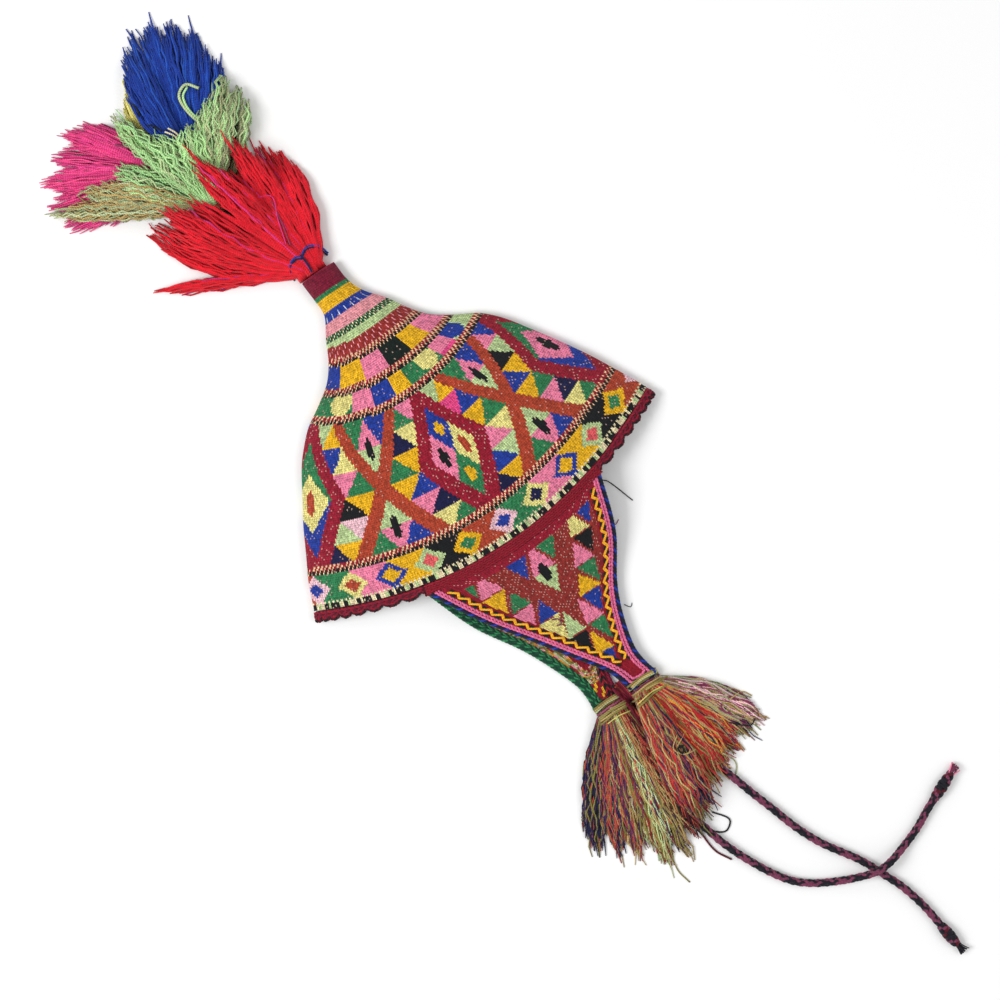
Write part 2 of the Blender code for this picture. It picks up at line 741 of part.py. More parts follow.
def fuse(body, pieces):
    """Joins the pieces to the body as one solid, with no specks or closed pockets between the locks."""
    group = bpy.data.collections.new(body.name + "_yarn")
    for piece in pieces:
        group.objects.link(piece)
    union = body.modifiers.new("union", "BOOLEAN")
    union.operation = "UNION"
    union.operand_type = "COLLECTION"
    union.collection = group
    union.solver = "EXACT"
    bpy.context.view_layer.update()
    evaluated = body.evaluated_get(bpy.context.evaluated_depsgraph_get())
    mesh_data = bmesh.new()
    mesh_data.from_mesh(evaluated.to_mesh())
    for inner in shells(mesh_data)[1:]:
        bmesh.ops.delete(mesh_data, geom=list(inner), context="VERTS")
    body.modifiers.clear()
    mesh_data.to_mesh(body.data)
    mesh_data.free()
    for piece in pieces:
        bpy.data.objects.remove(piece, do_unlink=True)
    bpy.data.collections.remove(group)


def build_tassel(name, place, tassel, below, finish, held_at=None):
    """A head with its locks, and with the cord that carries it from held_at. Its surfaces join below."""
    head = head_solid(name, place, tassel.facing, head_size(tassel), finish)
    pieces = []
    if held_at is not None:
        pieces.append(stalk_solid(name + "_cord", held_at, place, finish))
    for number, lock in enumerate(tassel.locks, 1):
        lift = LOCK_STAGGER * (number % 2)
        pieces.append(lock_solid(f"{name}_lock_{number}", place, tassel, lock, below, lift, finish))
    bpy.context.view_layer.update()
    below.extend(surface_of(item) for item in [head] + pieces)
    fuse(head, pieces)


def flap_head_place(flap, tassel):
    """The middle of the foot of the tassel head at a flap's tip."""
    y = flap_tip_y() - BINDING_WIDTH - 3 * GAP - head_size(tassel).length / 2
    return Vector((flap.tip * RIM_WIDTH / 2, y))


def build_flap_tassels(ties, finish):
    """The two tassels at the flaps' tips, the upper flap's over the lower's."""
    below = [surface_of(tie) for tie in ties]
    place = flap_head_place(LOWER_FLAP, LOWER_FLAP_TASSEL)
    build_tassel("lower_flap_tassel", place, LOWER_FLAP_TASSEL, below, finish)
    place = flap_head_place(UPPER_FLAP, UPPER_FLAP_TASSEL)
    build_tassel("upper_flap_tassel", place, UPPER_FLAP_TASSEL, below, finish)


def edge_of(place, tassel, towards):
    """A point just outside a head, where a stalk on the surface leaves it for another place."""
    way = (towards - place).normalized()
    ahead, aside = way_of(tassel.facing)
    head = head_size(tassel)
    across, along = way.dot(aside) / head.width, way.dot(ahead) / head.length
    reach = head_swell(STALK_WIDTH / head.height) / 2 / math.hypot(across, along)
    return place + way * (reach + GAP)


def build_top_tassels(finishes):
    """The chain of tassels at the neck: pink, yellow and blue furthest out, green over their roots and
    red, on the neck itself, over the green."""
    neck_end = Vector((NECK_LEAN, CROWN_HEIGHT))
    green = neck_end + GREEN_PLACE * RED_TASSEL_LENGTH
    red_head = head_size(RED_TASSEL)
    red = neck_end + Vector((RED_SHIFT * RED_TASSEL_LENGTH, SEAM_GAP + red_head.length / 2))
    below = []
    ends = (
        ("pink_tassel", PINK_PLACE, PINK_TASSEL, "pink_yarn"),
        ("yellow_tassel", YELLOW_PLACE, YELLOW_TASSEL, "yellow_yarn"),
        ("blue_tassel", BLUE_PLACE, BLUE_TASSEL, "blue_yarn"),
    )
    for name, offset, tassel, finish in ends:
        place = neck_end + offset * RED_TASSEL_LENGTH
        held_at = edge_of(green, GREEN_TASSEL, place)
        build_tassel(name, place, tassel, below, finishes[finish], held_at)
    held_at = edge_of(red, RED_TASSEL, green)
    build_tassel("green_tassel", green, GREEN_TASSEL, below, finishes["green_yarn"], held_at)
    build_tassel("red_tassel", red, RED_TASSEL, below, finishes["red_yarn"])


# Cords


def cord_line(points, spacing):
    """Evenly spaced points of one smooth curve through a route's own points."""
    lengths = [0.0]
    for a, b in zip(points, points[1:]):
        lengths.append(lengths[-1] + (b - a).length)
    fine = []
    for i in range(401):
        at = lengths[-1] * i / 400
        fine.append(Vector([through(lengths, [p[axis] for p in points], at) for axis in range(3)]))
    walked = [0.0]
    for a, b in zip(fine, fine[1:]):
        walked.append(walked[-1] + (b - a).length)
    count = max(2, round(walked[-1] / spacing))
    line = []
    for i in range(count + 1):
        at = walked[-1] * i / count
        line.append(Vector([through(walked, [p[axis] for p in fine], at) for axis in range(3)]))
    return line


def cord_object(name, line, diameter, finish):
    """A round cord along a line, its ends closed."""
    curve = bpy.data.curves.new(name, "CURVE")
    curve.dimensions = "3D"
    curve.bevel_depth = diameter / 2
    curve.bevel_resolution = 2
    curve.use_fill_caps = True
    spline = curve.splines.new("POLY")
    spline.points.add(len(line) - 1)
    for point, place in zip(spline.points, line):
        point.co = (*place, 1.0)
    curve.materials.append(finish)
    made = bpy.data.objects.new(name, curve)
    bpy.context.scene.collection.objects.link(made)
    return made


def tie_points(route, over):
    """A tie's route on the surface, with a low hump where it passes over the other tie."""
    points = []
    for x, y in route:
        away = (Vector((x, y)) - TIE_CROSSING).length / CROSSING_RUN
        hump = CROSSING_RISE * (1.0 - ease(away)) if over else 0.0
        points.append(Vector((x, y, TIE_DIAMETER / 2 + GAP + hump)))
    return points


def build_tie(name, route, over, finish):
    """A plaited tie and the knot at its end."""
    line = cord_line(tie_points(route, over), TIE_DIAMETER * 2)
    tie = cord_object(name, line, TIE_DIAMETER, finish)
    way = (line[-1] - line[-2]).normalized()
    side = Vector((way.y, -way.x, 0.0))
    loops = []
    for reach, swell in KNOT_PROFILE:
        centre = line[-1] + way * (GAP + reach * KNOT_LENGTH)
        loop = []
        for i in range(KNOT_SIDES):
            angle = 2 * math.pi * i / KNOT_SIDES
            flat = side * (math.cos(angle) * KNOT_DIAMETER / 2 * swell)
            lift = math.sin(angle) * KNOT_DIAMETER / 2 * swell
            loop.append(Vector((centre.x + flat.x, centre.y + flat.y, max(0.0, centre.z + lift))))
        loops.append(loop)
    loft(name + "_knot", loops, finish)
    return tie


def main():
    clear_scene()
    finishes = {
        "crown_knit": material("crown_knit", (0.52, 0.16, 0.16), 0.9),
        "edging_yarn": material("edging_yarn", (0.30, 0.02, 0.05), 0.9),
        "flap_knit": material("flap_knit", (0.45, 0.14, 0.16), 0.9),
        "binding_yarn": material("binding_yarn", (0.75, 0.20, 0.38), 0.9),
        "mixed_yarn": material("mixed_yarn", (0.50, 0.20, 0.14), 0.9),
        "tie_yarn": material("tie_yarn", (0.10, 0.03, 0.07), 0.85),
        "red_yarn": material("red_yarn", (0.72, 0.02, 0.04), 0.85),
        "green_yarn": material("green_yarn", (0.45, 0.66, 0.35), 0.85),
        "pink_yarn": material("pink_yarn", (0.76, 0.08, 0.26), 0.85),
        "blue_yarn": material("blue_yarn", (0.02, 0.06, 0.38), 0.85),
        "yellow_yarn": material("yellow_yarn", (0.78, 0.74, 0.36), 0.85),
    }
    build_crown(finishes["crown_knit"])
    build_edging(finishes["edging_yarn"])
    build_flap("upper_ear_flap", UPPER_FLAP, True, finishes["flap_knit"])
    build_binding("upper_flap_binding", UPPER_FLAP, True, finishes["binding_yarn"])
    build_flap("lower_ear_flap", LOWER_FLAP, False, finishes["flap_knit"])
    build_binding("lower_flap_binding", LOWER_FLAP, False, finishes["binding_yarn"])
    upper_tie = build_tie("upper_tie", UPPER_TIE_ROUTE, False, finishes["tie_yarn"])
    lower_tie = build_tie("lower_tie", LOWER_TIE_ROUTE, True, finishes["tie_yarn"])
    bpy.context.view_layer.update()
    build_flap_tassels([upper_tie, lower_tie], finishes["mixed_yarn"])
    build_top_tassels(finishes)


main()
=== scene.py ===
# %% [markdown]
# # A knitted earflap hat
# This lesson dresses a plain solid model of a hat in yarn. The solids give every size and place. Here they
# get stitches, cords, plaits and tassels. The hat lies on its side and the camera looks straight down on it.

import math
from collections import namedtuple

import bpy
import numpy as np
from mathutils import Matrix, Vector
from mathutils.bvhtree import BVHTree


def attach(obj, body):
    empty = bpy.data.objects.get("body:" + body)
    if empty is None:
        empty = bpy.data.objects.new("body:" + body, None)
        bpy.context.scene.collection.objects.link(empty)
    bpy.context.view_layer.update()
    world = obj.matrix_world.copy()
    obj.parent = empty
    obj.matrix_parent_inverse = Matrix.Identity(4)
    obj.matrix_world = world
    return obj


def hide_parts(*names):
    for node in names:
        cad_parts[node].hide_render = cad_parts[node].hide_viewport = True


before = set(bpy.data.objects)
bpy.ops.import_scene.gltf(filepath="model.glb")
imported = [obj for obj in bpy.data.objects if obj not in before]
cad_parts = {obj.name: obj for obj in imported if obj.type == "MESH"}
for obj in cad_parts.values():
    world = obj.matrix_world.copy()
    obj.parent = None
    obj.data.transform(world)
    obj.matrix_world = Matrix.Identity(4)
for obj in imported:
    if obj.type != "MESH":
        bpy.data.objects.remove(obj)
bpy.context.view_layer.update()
MM = 0.001
bpy.ops.object.select_all(action="DESELECT")
print("CAD nodes:", len(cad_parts))

# %% [markdown]
# The photograph was taken from straight above, with the hat turned on the table. The camera gets the same
# turn, so the hat's own lines stay along X and Y. A long lens far away keeps the picture free of perspective.

# %% Camera
PHOTO_SPAN = 0.67  # the picture's width on the table, in metres
PHOTO_TURN = math.radians(-34.0)
AIM = Vector((0.0110, -0.0078, 0.012))
LENS, SENSOR = 100.0, 36.0

height = PHOTO_SPAN * LENS / SENSOR
bpy.ops.object.camera_add(location=AIM + Vector((0, 0, height)), rotation=(0, 0, PHOTO_TURN))
camera = bpy.context.object
camera.name = "photo_camera"
camera.data.lens, camera.data.sensor_width = LENS, SENSOR
bpy.context.scene.camera = camera
bpy.context.scene.view_settings.view_transform = "Standard"
print("camera height:", round(camera.location.z, 3))

# %% [markdown]
# Yarn shows best in soft light with a little direction. A pale sky fills the shadows. One large lamp at the
# picture's upper left gives the stitches their relief, and a weaker one opposite lights the dark side.

# %% Light
SKY = (1.0, 1.0, 1.0)


def soft_lamp(name, x, y, z, size, power):
    """A square lamp that looks at the hat."""
    place = Vector((x, y, z))
    turn = (AIM - place).to_track_quat("-Z", "Y").to_euler()
    bpy.ops.object.light_add(type="AREA", location=place, rotation=turn)
    lamp = bpy.context.object
    lamp.name = name
    lamp.data.size, lamp.data.energy = size, power
    return lamp


world = bpy.data.worlds.new("studio")
world.use_nodes = True
world.node_tree.nodes["Background"].inputs["Color"].default_value = (*SKY, 1.0)
world.node_tree.nodes["Background"].inputs["Strength"].default_value = 0.62
bpy.context.scene.world = world
soft_lamp("key_lamp", -1.3, 0.5, 1.5, 0.9, 27.0)
soft_lamp("fill_lamp", 1.2, -0.9, 1.6, 1.4, 9.0)

# %% [markdown]
# A finish is a node tree. Its sums are easier to read as Python than as a row of Math nodes, so one small
# class wraps a socket and gives it the usual signs. Every other node comes from one method.

# %% Shader helpers
class Value:
    """A socket with a number in it."""

    def __init__(self, finish, socket):
        self.finish, self.socket = finish, socket

    def maths(self, operation, other=None, swap=False):
        """One Math node on this value, or on this value and another."""
        parts = [self] if other is None else ([other, self] if swap else [self, other])
        return self.finish.add("ShaderNodeMath", {"operation": operation}, dict(enumerate(parts)))

    def __add__(self, other):
        return self.maths("ADD", other)

    def __sub__(self, other):
        return self.maths("SUBTRACT", other)

    def __mul__(self, other):
        return self.maths("MULTIPLY", other)

    def __pow__(self, other):
        return self.maths("POWER", other)

    def __rsub__(self, other):
        return self.maths("SUBTRACT", other, swap=True)

    __radd__, __rmul__ = __add__, __mul__


class Finish:
    """A material that is built by its own methods."""

    def __init__(self, name, roughness, sheen):
        self.material = bpy.data.materials.new(name)
        self.material.use_nodes = True
        self.tree = self.material.node_tree
        self.shader = self.tree.nodes["Principled BSDF"]
        self.shader.inputs["Roughness"].default_value = roughness
        self.shader.inputs["Specular IOR Level"].default_value = 0.25
        self.shader.inputs["Sheen Weight"].default_value = sheen
        self.shader.inputs["Sheen Roughness"].default_value = 0.45

    def add(self, kind, settings=(), sockets=(), out=0):
        """A new node: its settings first, then the values or links of its sockets."""
        node = self.tree.nodes.new(kind)
        for key, value in dict(settings).items():
            setattr(node, key, value)
        for key, value in dict(sockets).items():
            if isinstance(value, Value):
                self.tree.links.new(value.socket, node.inputs[key])
            else:
                node.inputs[key].default_value = value
        return Value(self, node.outputs[out])

    def mix(self, kind, share, first, second):
        """Two colours mixed or multiplied."""
        settings = {"data_type": "RGBA", "blend_type": kind}
        return self.add("ShaderNodeMix", settings, {0: share, 6: first, 7: second}, out=2)

    def shaded(self, colour, light):
        """A colour times one brightness."""
        grey = self.add("ShaderNodeCombineColor", {}, {0: light, 1: light, 2: light})
        return self.mix("MULTIPLY", 1.0, colour, grey)

    def feed(self, socket, value):
        """Joins a value to one of the shader's own sockets."""
        self.tree.links.new(value.socket, self.shader.inputs[socket])

    def bump(self, height, distance):
        """Raises the surface by a height from 0 to 1."""
        sockets = {"Height": height, "Distance": distance, "Strength": 1.0}
        self.feed("Normal", self.add("ShaderNodeBump", {}, sockets))


def linear(shade):
    """A colour as the renderer wants it, from the usual #rrggbb."""
    parts = [int(shade[i : i + 2], 16) / 255 for i in (1, 3, 5)]
    return np.array([c / 12.92 if c <= 0.04045 else ((c + 0.055) / 1.055) ** 2.4 for c in parts])


print("half grey becomes", round(float(linear("#808080")[0]), 3))

# %% [markdown]
# The hat lies on pale paper. A plane is enough, and a faint cloud in its colour keeps it from looking drawn.

# %% Floor
bpy.ops.mesh.primitive_plane_add(size=8.0)
floor = bpy.context.object
floor.name = "floor"
paper = Finish("paper_floor", 0.9, 0.0)
object_place = paper.add("ShaderNodeTexCoord", out="Object")
cloud = paper.add("ShaderNodeTexNoise", {}, {"Vector": object_place, "Scale": 3.0})
paper.feed("Base Color", paper.mix("MIX", cloud, (0.90, 0.90, 0.90, 1), (0.93, 0.93, 0.93, 1)))
floor.data.materials.append(paper.material)
bpy.ops.object.select_all(action="DESELECT")
print("floor ready")

# %% [markdown]
# Every colour on the hat is the colour of one stitch or one strand. It is stored with the mesh, in a colour
# attribute named yarn, so that one material serves a whole patterned piece.

# %% Yarn colours
SHADES = {
    name: linear(shade)
    for name, shade in {
        "crimson": "#9a162f",
        "rust": "#b4442c",
        "maroon": "#7d1532",
        "wine": "#57101f",
        "green": "#2f8050",
        "dark_green": "#12432f",
        "light_green": "#bdd396",
        "pale_yellow": "#ece08a",
        "yellow": "#f2b81c",
        "orange": "#e59a34",
        "blue": "#1f3c9c",
        "navy": "#171a45",
        "black": "#14171a",
        "black_green": "#12201c",
        "pink": "#f384a6",
        "chain_pink": "#e8709b",
        "pale_pink": "#f3c3cd",
        "hot_pink": "#ee4a8b",
        "cream": "#f0e0b4",
        "coral": "#b9493a",
        "olive": "#857c3e",
        "flap_rust": "#962f2a",
        "flap_red": "#98172a",
        "red_yarn": "#dd1a2c",
        "mint": "#b4e09a",
        "olive_grey": "#a0a67c",
        "magenta": "#dc3680",
        "dusty": "#8f3d5c",
        "royal": "#173a98",
        "bright_blue": "#2554b6",
        "lime": "#d9d071",
        "mauve": "#743650",
        "tie_black": "#191720",
        "tan": "#b79c64",
        "purple": "#432450",
        "red": "#c8202b",
        "peach": "#f3c79c",
        "salmon_red": "#ea5f63",
        "rust_red": "#9b2f2b",
        "salmon": "#ef9da6",
        "pale_blue": "#c9cfe0",
        "sage": "#bfcb98",
    }.items()
}
print("shades:", len(SHADES))

# %% [markdown]
# The materials add what all yarn has: uneven dye and a soft sheen of loose fibres. They also paint shade into
# the colour, darker in the grooves between legs or plies. Knitting counts its stitches in a UV map, so each
# leg and each fleck falls on a stitch. Loose yarn has a UV map that runs along and round the strand, and the
# plies follow it.

# %% Knit finish
STITCH_RELIEF, PLY_RELIEF = 0.0007, 0.0004
FLECK_U, FLECK_V = 3.4, 2.6  # one over half a fleck's width and height, in stitches and rows
FLECK_SHADE = (0.80, 0.52, 0.44, 1.0)


def knit_finish(name):
    """Stockinette: two plump legs to a stitch, read from the UV map that counts stitches and rows. The yarn
    colour's alpha is the share of stitches where the yarn carried behind peeps through as a pale fleck."""
    finish = Finish(name, 0.92, 0.06)
    place = finish.add("ShaderNodeTexCoord", out="Object")
    counted = finish.add("ShaderNodeUVMap", {"uv_map": "stitches"})
    apart = finish.add("ShaderNodeSeparateXYZ", {}, {0: counted})
    across = Value(finish, apart.socket.node.outputs[0])
    along = Value(finish, apart.socket.node.outputs[1])
    leg = (across * (2 * math.pi)).maths("SINE").maths("ABSOLUTE") ** 0.6
    swell = (along.maths("FRACT") * math.pi).maths("SINE") ** 0.7
    stitch = leg * (0.45 + 0.55 * swell)
    fibres = finish.add("ShaderNodeTexNoise", {}, {"Vector": place, "Scale": 2600.0, "Detail": 3.0})
    cloudy = finish.add("ShaderNodeTexNoise", {}, {"Vector": place, "Scale": 420.0})
    yarn = finish.add("ShaderNodeAttribute", {"attribute_name": "yarn"}, out="Color")
    chance = Value(finish, yarn.socket.node.outputs["Alpha"])
    leg_cell = finish.add(
        "ShaderNodeCombineXYZ", {}, {0: (across * 2).maths("FLOOR"), 1: (along + 0.37).maths("FLOOR")}
    )
    grain = finish.add("ShaderNodeTexWhiteNoise", {"noise_dimensions": "2D"}, {"Vector": leg_cell})
    # painted shade: the colour darkens in the grooves between legs and between rows (stitch); cloudy and
    # grain are uneven dye
    light = (0.12 + 1.36 * stitch) * (0.80 + 0.44 * cloudy) * (0.66 + 0.68 * grain)
    cell_u, cell_v = (across + 0.5).maths("FLOOR"), along.maths("FLOOR")
    cell = finish.add("ShaderNodeCombineXYZ", {}, {0: cell_u, 1: cell_v})
    noise = {"noise_dimensions": "2D"}
    luck = finish.add("ShaderNodeTexWhiteNoise", noise, {"Vector": cell})
    odd = (cell_u + cell_v).maths("MODULO", 2.0).maths("ABSOLUTE")
    off_u, off_v = (across - cell_u) * FLECK_U, (along - cell_v - 0.5) * FLECK_V
    spot = ((1.0 - (off_u * off_u + off_v * off_v)) * 3.0).maths("MINIMUM", 1.0).maths("MAXIMUM", 0.0)
    fleck = luck.maths("LESS_THAN", chance * 2.0) * odd * spot * 0.7
    finish.feed("Base Color", finish.mix("MIX", fleck, finish.shaded(yarn, light), FLECK_SHADE))
    finish.bump(stitch * 0.85 + fibres * 0.3, STITCH_RELIEF)
    return finish.material


def strand_finish(name, roughness=0.85, sheen=0.08, shine=0.25):
    """Loose yarn: plies that wind round the strand, read from the UV map along and round it."""
    finish = Finish(name, roughness, sheen)
    finish.shader.inputs["Specular IOR Level"].default_value = shine
    place = finish.add("ShaderNodeTexCoord", out="Object")
    run = finish.add("ShaderNodeUVMap", {"uv_map": "strand"})
    apart = finish.add("ShaderNodeSeparateXYZ", {}, {0: run})
    along = Value(finish, apart.socket.node.outputs[0])
    around = Value(finish, apart.socket.node.outputs[1])
    ply = ((along + around) * (2 * math.pi)).maths("SINE").maths("ABSOLUTE") ** 0.5
    fibres = finish.add("ShaderNodeTexNoise", {}, {"Vector": place, "Scale": 2200.0, "Detail": 3.0})
    cloudy = finish.add("ShaderNodeTexNoise", {}, {"Vector": place, "Scale": 300.0})
    yarn = finish.add("ShaderNodeAttribute", {"attribute_name": "yarn"}, out="Color")
    # painted shade: the colour darkens in the grooves between plies; cloudy is uneven dye
    light = (0.58 + 0.55 * ply) * (0.74 + 0.6 * cloudy)
    finish.feed("Base Color", finish.shaded(yarn, light))
    finish.bump(ply * 0.7 + fibres * 0.5, PLY_RELIEF)
    return finish.material


KNIT = knit_finish("wool_knit")
WOOL = strand_finish("wool_strands")
ACRYLIC = strand_finish("bright_strands", 0.6, 0.08, 0.4)
print("finishes ready")

# %% [markdown]
# A cord, a fringe or a wrapped thread is a bundle of strands. A strand is a thin tube along a line. Curve
# objects could do it, but a mesh takes a colour and a run of UVs at each ring, and thousands of strands join
# into one piece at once.

# %% Strand bundles
PLY_RUN = 0.0032  # one turn of the plies takes this much length
LOWEST = 0.00003  # no strand sinks into the table
rng = np.random.default_rng(7)


class Bundle:
    """Tubes that are gathered and made one object."""

    def __init__(self):
        self.points, self.quads, self.caps = [], [], []
        self.colours, self.runs, self.count = [], [], 0

    def strand(self, line, radius, colour, sides=5):
        """A closed tube along a line. radius and colour are single or one for each point."""
        line = np.asarray(line, float)
        size = len(line)
        way = np.gradient(line, axis=0)
        way /= np.linalg.norm(way, axis=1)[:, None] + 1e-12
        side = np.cross(way, (0.0, 0.0, 1.0))
        small = np.linalg.norm(side, axis=1) < 0.05
        side[small] = np.cross(way[small], (0.0, 1.0, 0.0))
        side /= np.linalg.norm(side, axis=1)[:, None] + 1e-12
        up = np.cross(side, way)
        radius = np.broadcast_to(radius, (size,))[:, None, None]
        turn = 2 * np.pi * np.arange(sides) / sides
        ring = np.cos(turn)[None, :, None] * side[:, None] + np.sin(turn)[None, :, None] * up[:, None]
        tube = (line[:, None] + radius * ring).reshape(-1, 3)
        tube[:, 2] = np.maximum(tube[:, 2], LOWEST)
        self.points.append(tube)
        base = self.count + sides * np.arange(size - 1)[:, None]
        near, after = np.arange(sides)[None], (np.arange(sides)[None] + 1) % sides
        quads = np.stack([base + near, base + after, base + sides + after, base + sides + near], -1)
        self.quads.append(quads.reshape(-1, 4))
        last = self.count + sides * (size - 1)
        self.caps.append([self.count + sides - 1 - np.arange(sides), last + np.arange(sides)])
        self.count += size * sides
        colour = np.broadcast_to(colour, (size, 3))
        self.colours.append(np.repeat(colour, sides, axis=0))
        walked = np.r_[0, np.cumsum(np.linalg.norm(np.diff(line, axis=0), axis=1))] / PLY_RUN
        run = np.empty((size - 1, sides, 4, 2))
        run[..., 0] = np.stack([walked[:-1], walked[:-1], walked[1:], walked[1:]], -1)[:, None]
        near = np.arange(sides) / sides
        run[..., 1] = np.stack([near, near + 1 / sides, near + 1 / sides, near], -1)[None]
        self.runs.append(run.reshape(-1, 2))

    def add_mesh(self, points, quads, colours, runs):
        """Any other quads that belong to the same piece."""
        self.quads.append(np.asarray(quads) + self.count)
        self.points.append(points)
        self.colours.append(colours)
        self.runs.append(runs)
        self.count += len(points)

    def make(self, name, material):
        """The finished object, at the origin."""
        quads = np.concatenate(self.quads)
        caps = [ring for pair in self.caps for ring in pair]
        sizes = np.r_[np.full(len(quads), 4), [len(ring) for ring in caps]].astype(np.int32)
        corners = np.concatenate([quads.reshape(-1)] + caps).astype(np.int32)
        runs = np.concatenate(self.runs)
        runs = np.concatenate([runs, np.zeros((len(corners) - len(runs), 2))])
        points, colours = np.concatenate(self.points), np.concatenate(self.colours)
        return mesh_piece(name, points, corners, sizes, colours, "POINT", "strand", runs, material)


def mesh_piece(name, points, corners, sizes, colours, domain, uv_name, uvs, material):
    """A mesh object from plain tables, with its yarn colours and its UV map."""
    mesh = bpy.data.meshes.new(name)
    mesh.vertices.add(len(points))
    mesh.vertices.foreach_set("co", np.asarray(points, np.float32).reshape(-1))
    mesh.loops.add(len(corners))
    mesh.loops.foreach_set("vertex_index", np.asarray(corners, np.int32))
    mesh.polygons.add(len(sizes))
    starts = np.r_[0, np.cumsum(sizes)[:-1]].astype(np.int32)
    mesh.polygons.foreach_set("loop_start", starts)
    mesh.update(calc_edges=True)
    mesh.shade_smooth()
    yarn = mesh.color_attributes.new("yarn", "FLOAT_COLOR", domain)
    rgba = np.clip(colours, 0, 1)
    if rgba.shape[1] == 3:
        rgba = np.c_[rgba, np.zeros(len(rgba))]
    yarn.data.foreach_set("color", rgba.astype(np.float32).reshape(-1))
    layer = mesh.uv_layers.new(name=uv_name)
    layer.data.foreach_set("uv", np.asarray(uvs, np.float32).reshape(-1))
    mesh.validate()
    mesh.materials.append(material)
    piece = bpy.data.objects.new(name, mesh)
    bpy.context.scene.collection.objects.link(piece)
    return piece


def finish_piece(piece, slot, *nodes):
    """Hides the solids that a piece stands for, and lets it ride with the hat."""
    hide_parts(*nodes)
    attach(piece, "root")
    piece.data.calc_loop_triangles()
    print(piece.name, len(piece.data.loop_triangles), "triangles")


def tinted(name, spread=0.10):
    """One strand's own shade of a yarn colour."""
    return SHADES[name] * (1.0 + rng.normal(0.0, spread)) * (1.0 + rng.normal(0.0, spread / 3, 3))

# %% [markdown]
# Cords follow smooth lines through a few chosen points. A curve object could smooth them, but the numbers are
# needed here to set strands beside the line, so a small function does it.

# %% Smooth lines
def ease(share):
    """A step from 0 to 1 that starts and ends softly."""
    share = np.clip(share, 0.0, 1.0)
    return share * share * (3.0 - 2.0 * share)


def through(places, values, at):
    """A smooth curve through values at rising places, read at one place."""
    at = min(places[-1], max(places[0], at))
    i = 0
    while i < len(places) - 2 and at > places[i + 1]:
        i += 1

    def slope(k):
        before, after = max(0, k - 1), min(len(places) - 1, k + 1)
        return (values[after] - values[before]) / (places[after] - places[before])

    run = places[i + 1] - places[i]
    t = (at - places[i]) / run
    return (
        (2 * t**3 - 3 * t**2 + 1) * values[i]
        + (t**3 - 2 * t**2 + t) * run * slope(i)
        + (3 * t**2 - 2 * t**3) * values[i + 1]
        + (t**3 - t**2) * run * slope(i + 1)
    )


def smooth_line(points, spacing):
    """Evenly spaced points of one smooth curve through a route's own points."""
    points = np.asarray(points, float)
    lengths = np.r_[0, np.cumsum(np.linalg.norm(np.diff(points, axis=0), axis=1))]
    ats = np.linspace(0, lengths[-1], 8 * len(points))
    fine = np.array([[through(lengths, points[:, k], at) for k in range(points.shape[1])] for at in ats])
    walked = np.r_[0, np.cumsum(np.linalg.norm(np.diff(fine, axis=0), axis=1))]
    even = np.linspace(0, walked[-1], max(2, round(walked[-1] / spacing)) + 1)
    return np.stack([np.interp(even, walked, fine[:, k]) for k in range(points.shape[1])], -1)


def line_frame(line):
    """Along a line: the distance walked, the way to its right, and the way up from it."""
    way = np.gradient(line, axis=0)
    way /= np.linalg.norm(way, axis=1)[:, None]
    side = np.cross(way, (0.0, 0.0, 1.0))
    side /= np.linalg.norm(side, axis=1)[:, None]
    walked = np.r_[0, np.cumsum(np.linalg.norm(np.diff(line, axis=0), axis=1))]
    return walked, side, np.cross(side, way)


print("one third of the way, eased:", round(float(ease(1 / 3)), 3))

# %% [markdown]
# The ties are round plaits of eight strands, half black yarn and half mauve, and each ends in a knot. Four
# strands wind to the left and four to the right, and at every crossing the one that was over goes under.
# The line they follow is the one that the solid ties follow.

# %% Plaits and knots
GAP = 0.0003
TIE_DIAMETER = 0.0058
PLAIT_PITCH = 0.023
PLAIT_RADIUS = 0.00150  # from the tie's line to the middle of a strand
PLAIT_WEAVE = 0.00030  # how far a strand moves in and out at the crossings
PLAIT_STRAND = 0.00110
TIE_CROSSING = (0.0820, -0.3559)
CROSSING_RUN = 0.030
CROSSING_RISE = 0.0073
UPPER_TIE_ROUTE = [
    (0.0232, -0.1735), (0.0242, -0.1950), (0.0280, -0.2200), (0.0337, -0.2412), (0.0374, -0.2524),
    (0.0415, -0.2663), (0.0466, -0.2817), (0.0513, -0.2970), (0.0561, -0.3096), (0.0616, -0.3208),
    (0.0686, -0.3319), (0.0750, -0.3417), (0.0801, -0.3515), (0.0848, -0.3626), (0.0896, -0.3738),
    (0.0932, -0.3864), (0.0954, -0.3975), (0.0971, -0.4120),
]
LOWER_TIE_ROUTE = [
    (-0.0054, -0.1770), (-0.0058, -0.2050), (-0.0038, -0.2350), (0.0002, -0.2587), (0.0047, -0.2775),
    (0.0094, -0.2915), (0.0150, -0.3040), (0.0214, -0.3166), (0.0309, -0.3305), (0.0415, -0.3395),
    (0.0541, -0.3467), (0.0667, -0.3518), (0.0806, -0.3557), (0.0918, -0.3559), (0.1057, -0.3529),
    (0.1197, -0.3481), (0.1337, -0.3411), (0.1420, -0.3375),
]


def tie_line(route, over):
    """A tie's route on the table, with a low hump where it passes over the other tie."""
    away = np.linalg.norm(np.array(route) - TIE_CROSSING, axis=1) / CROSSING_RUN
    hump = CROSSING_RISE * (1.0 - ease(away)) if over else 0.0 * away
    return np.c_[np.array(route), TIE_DIAMETER / 2 + GAP + hump]


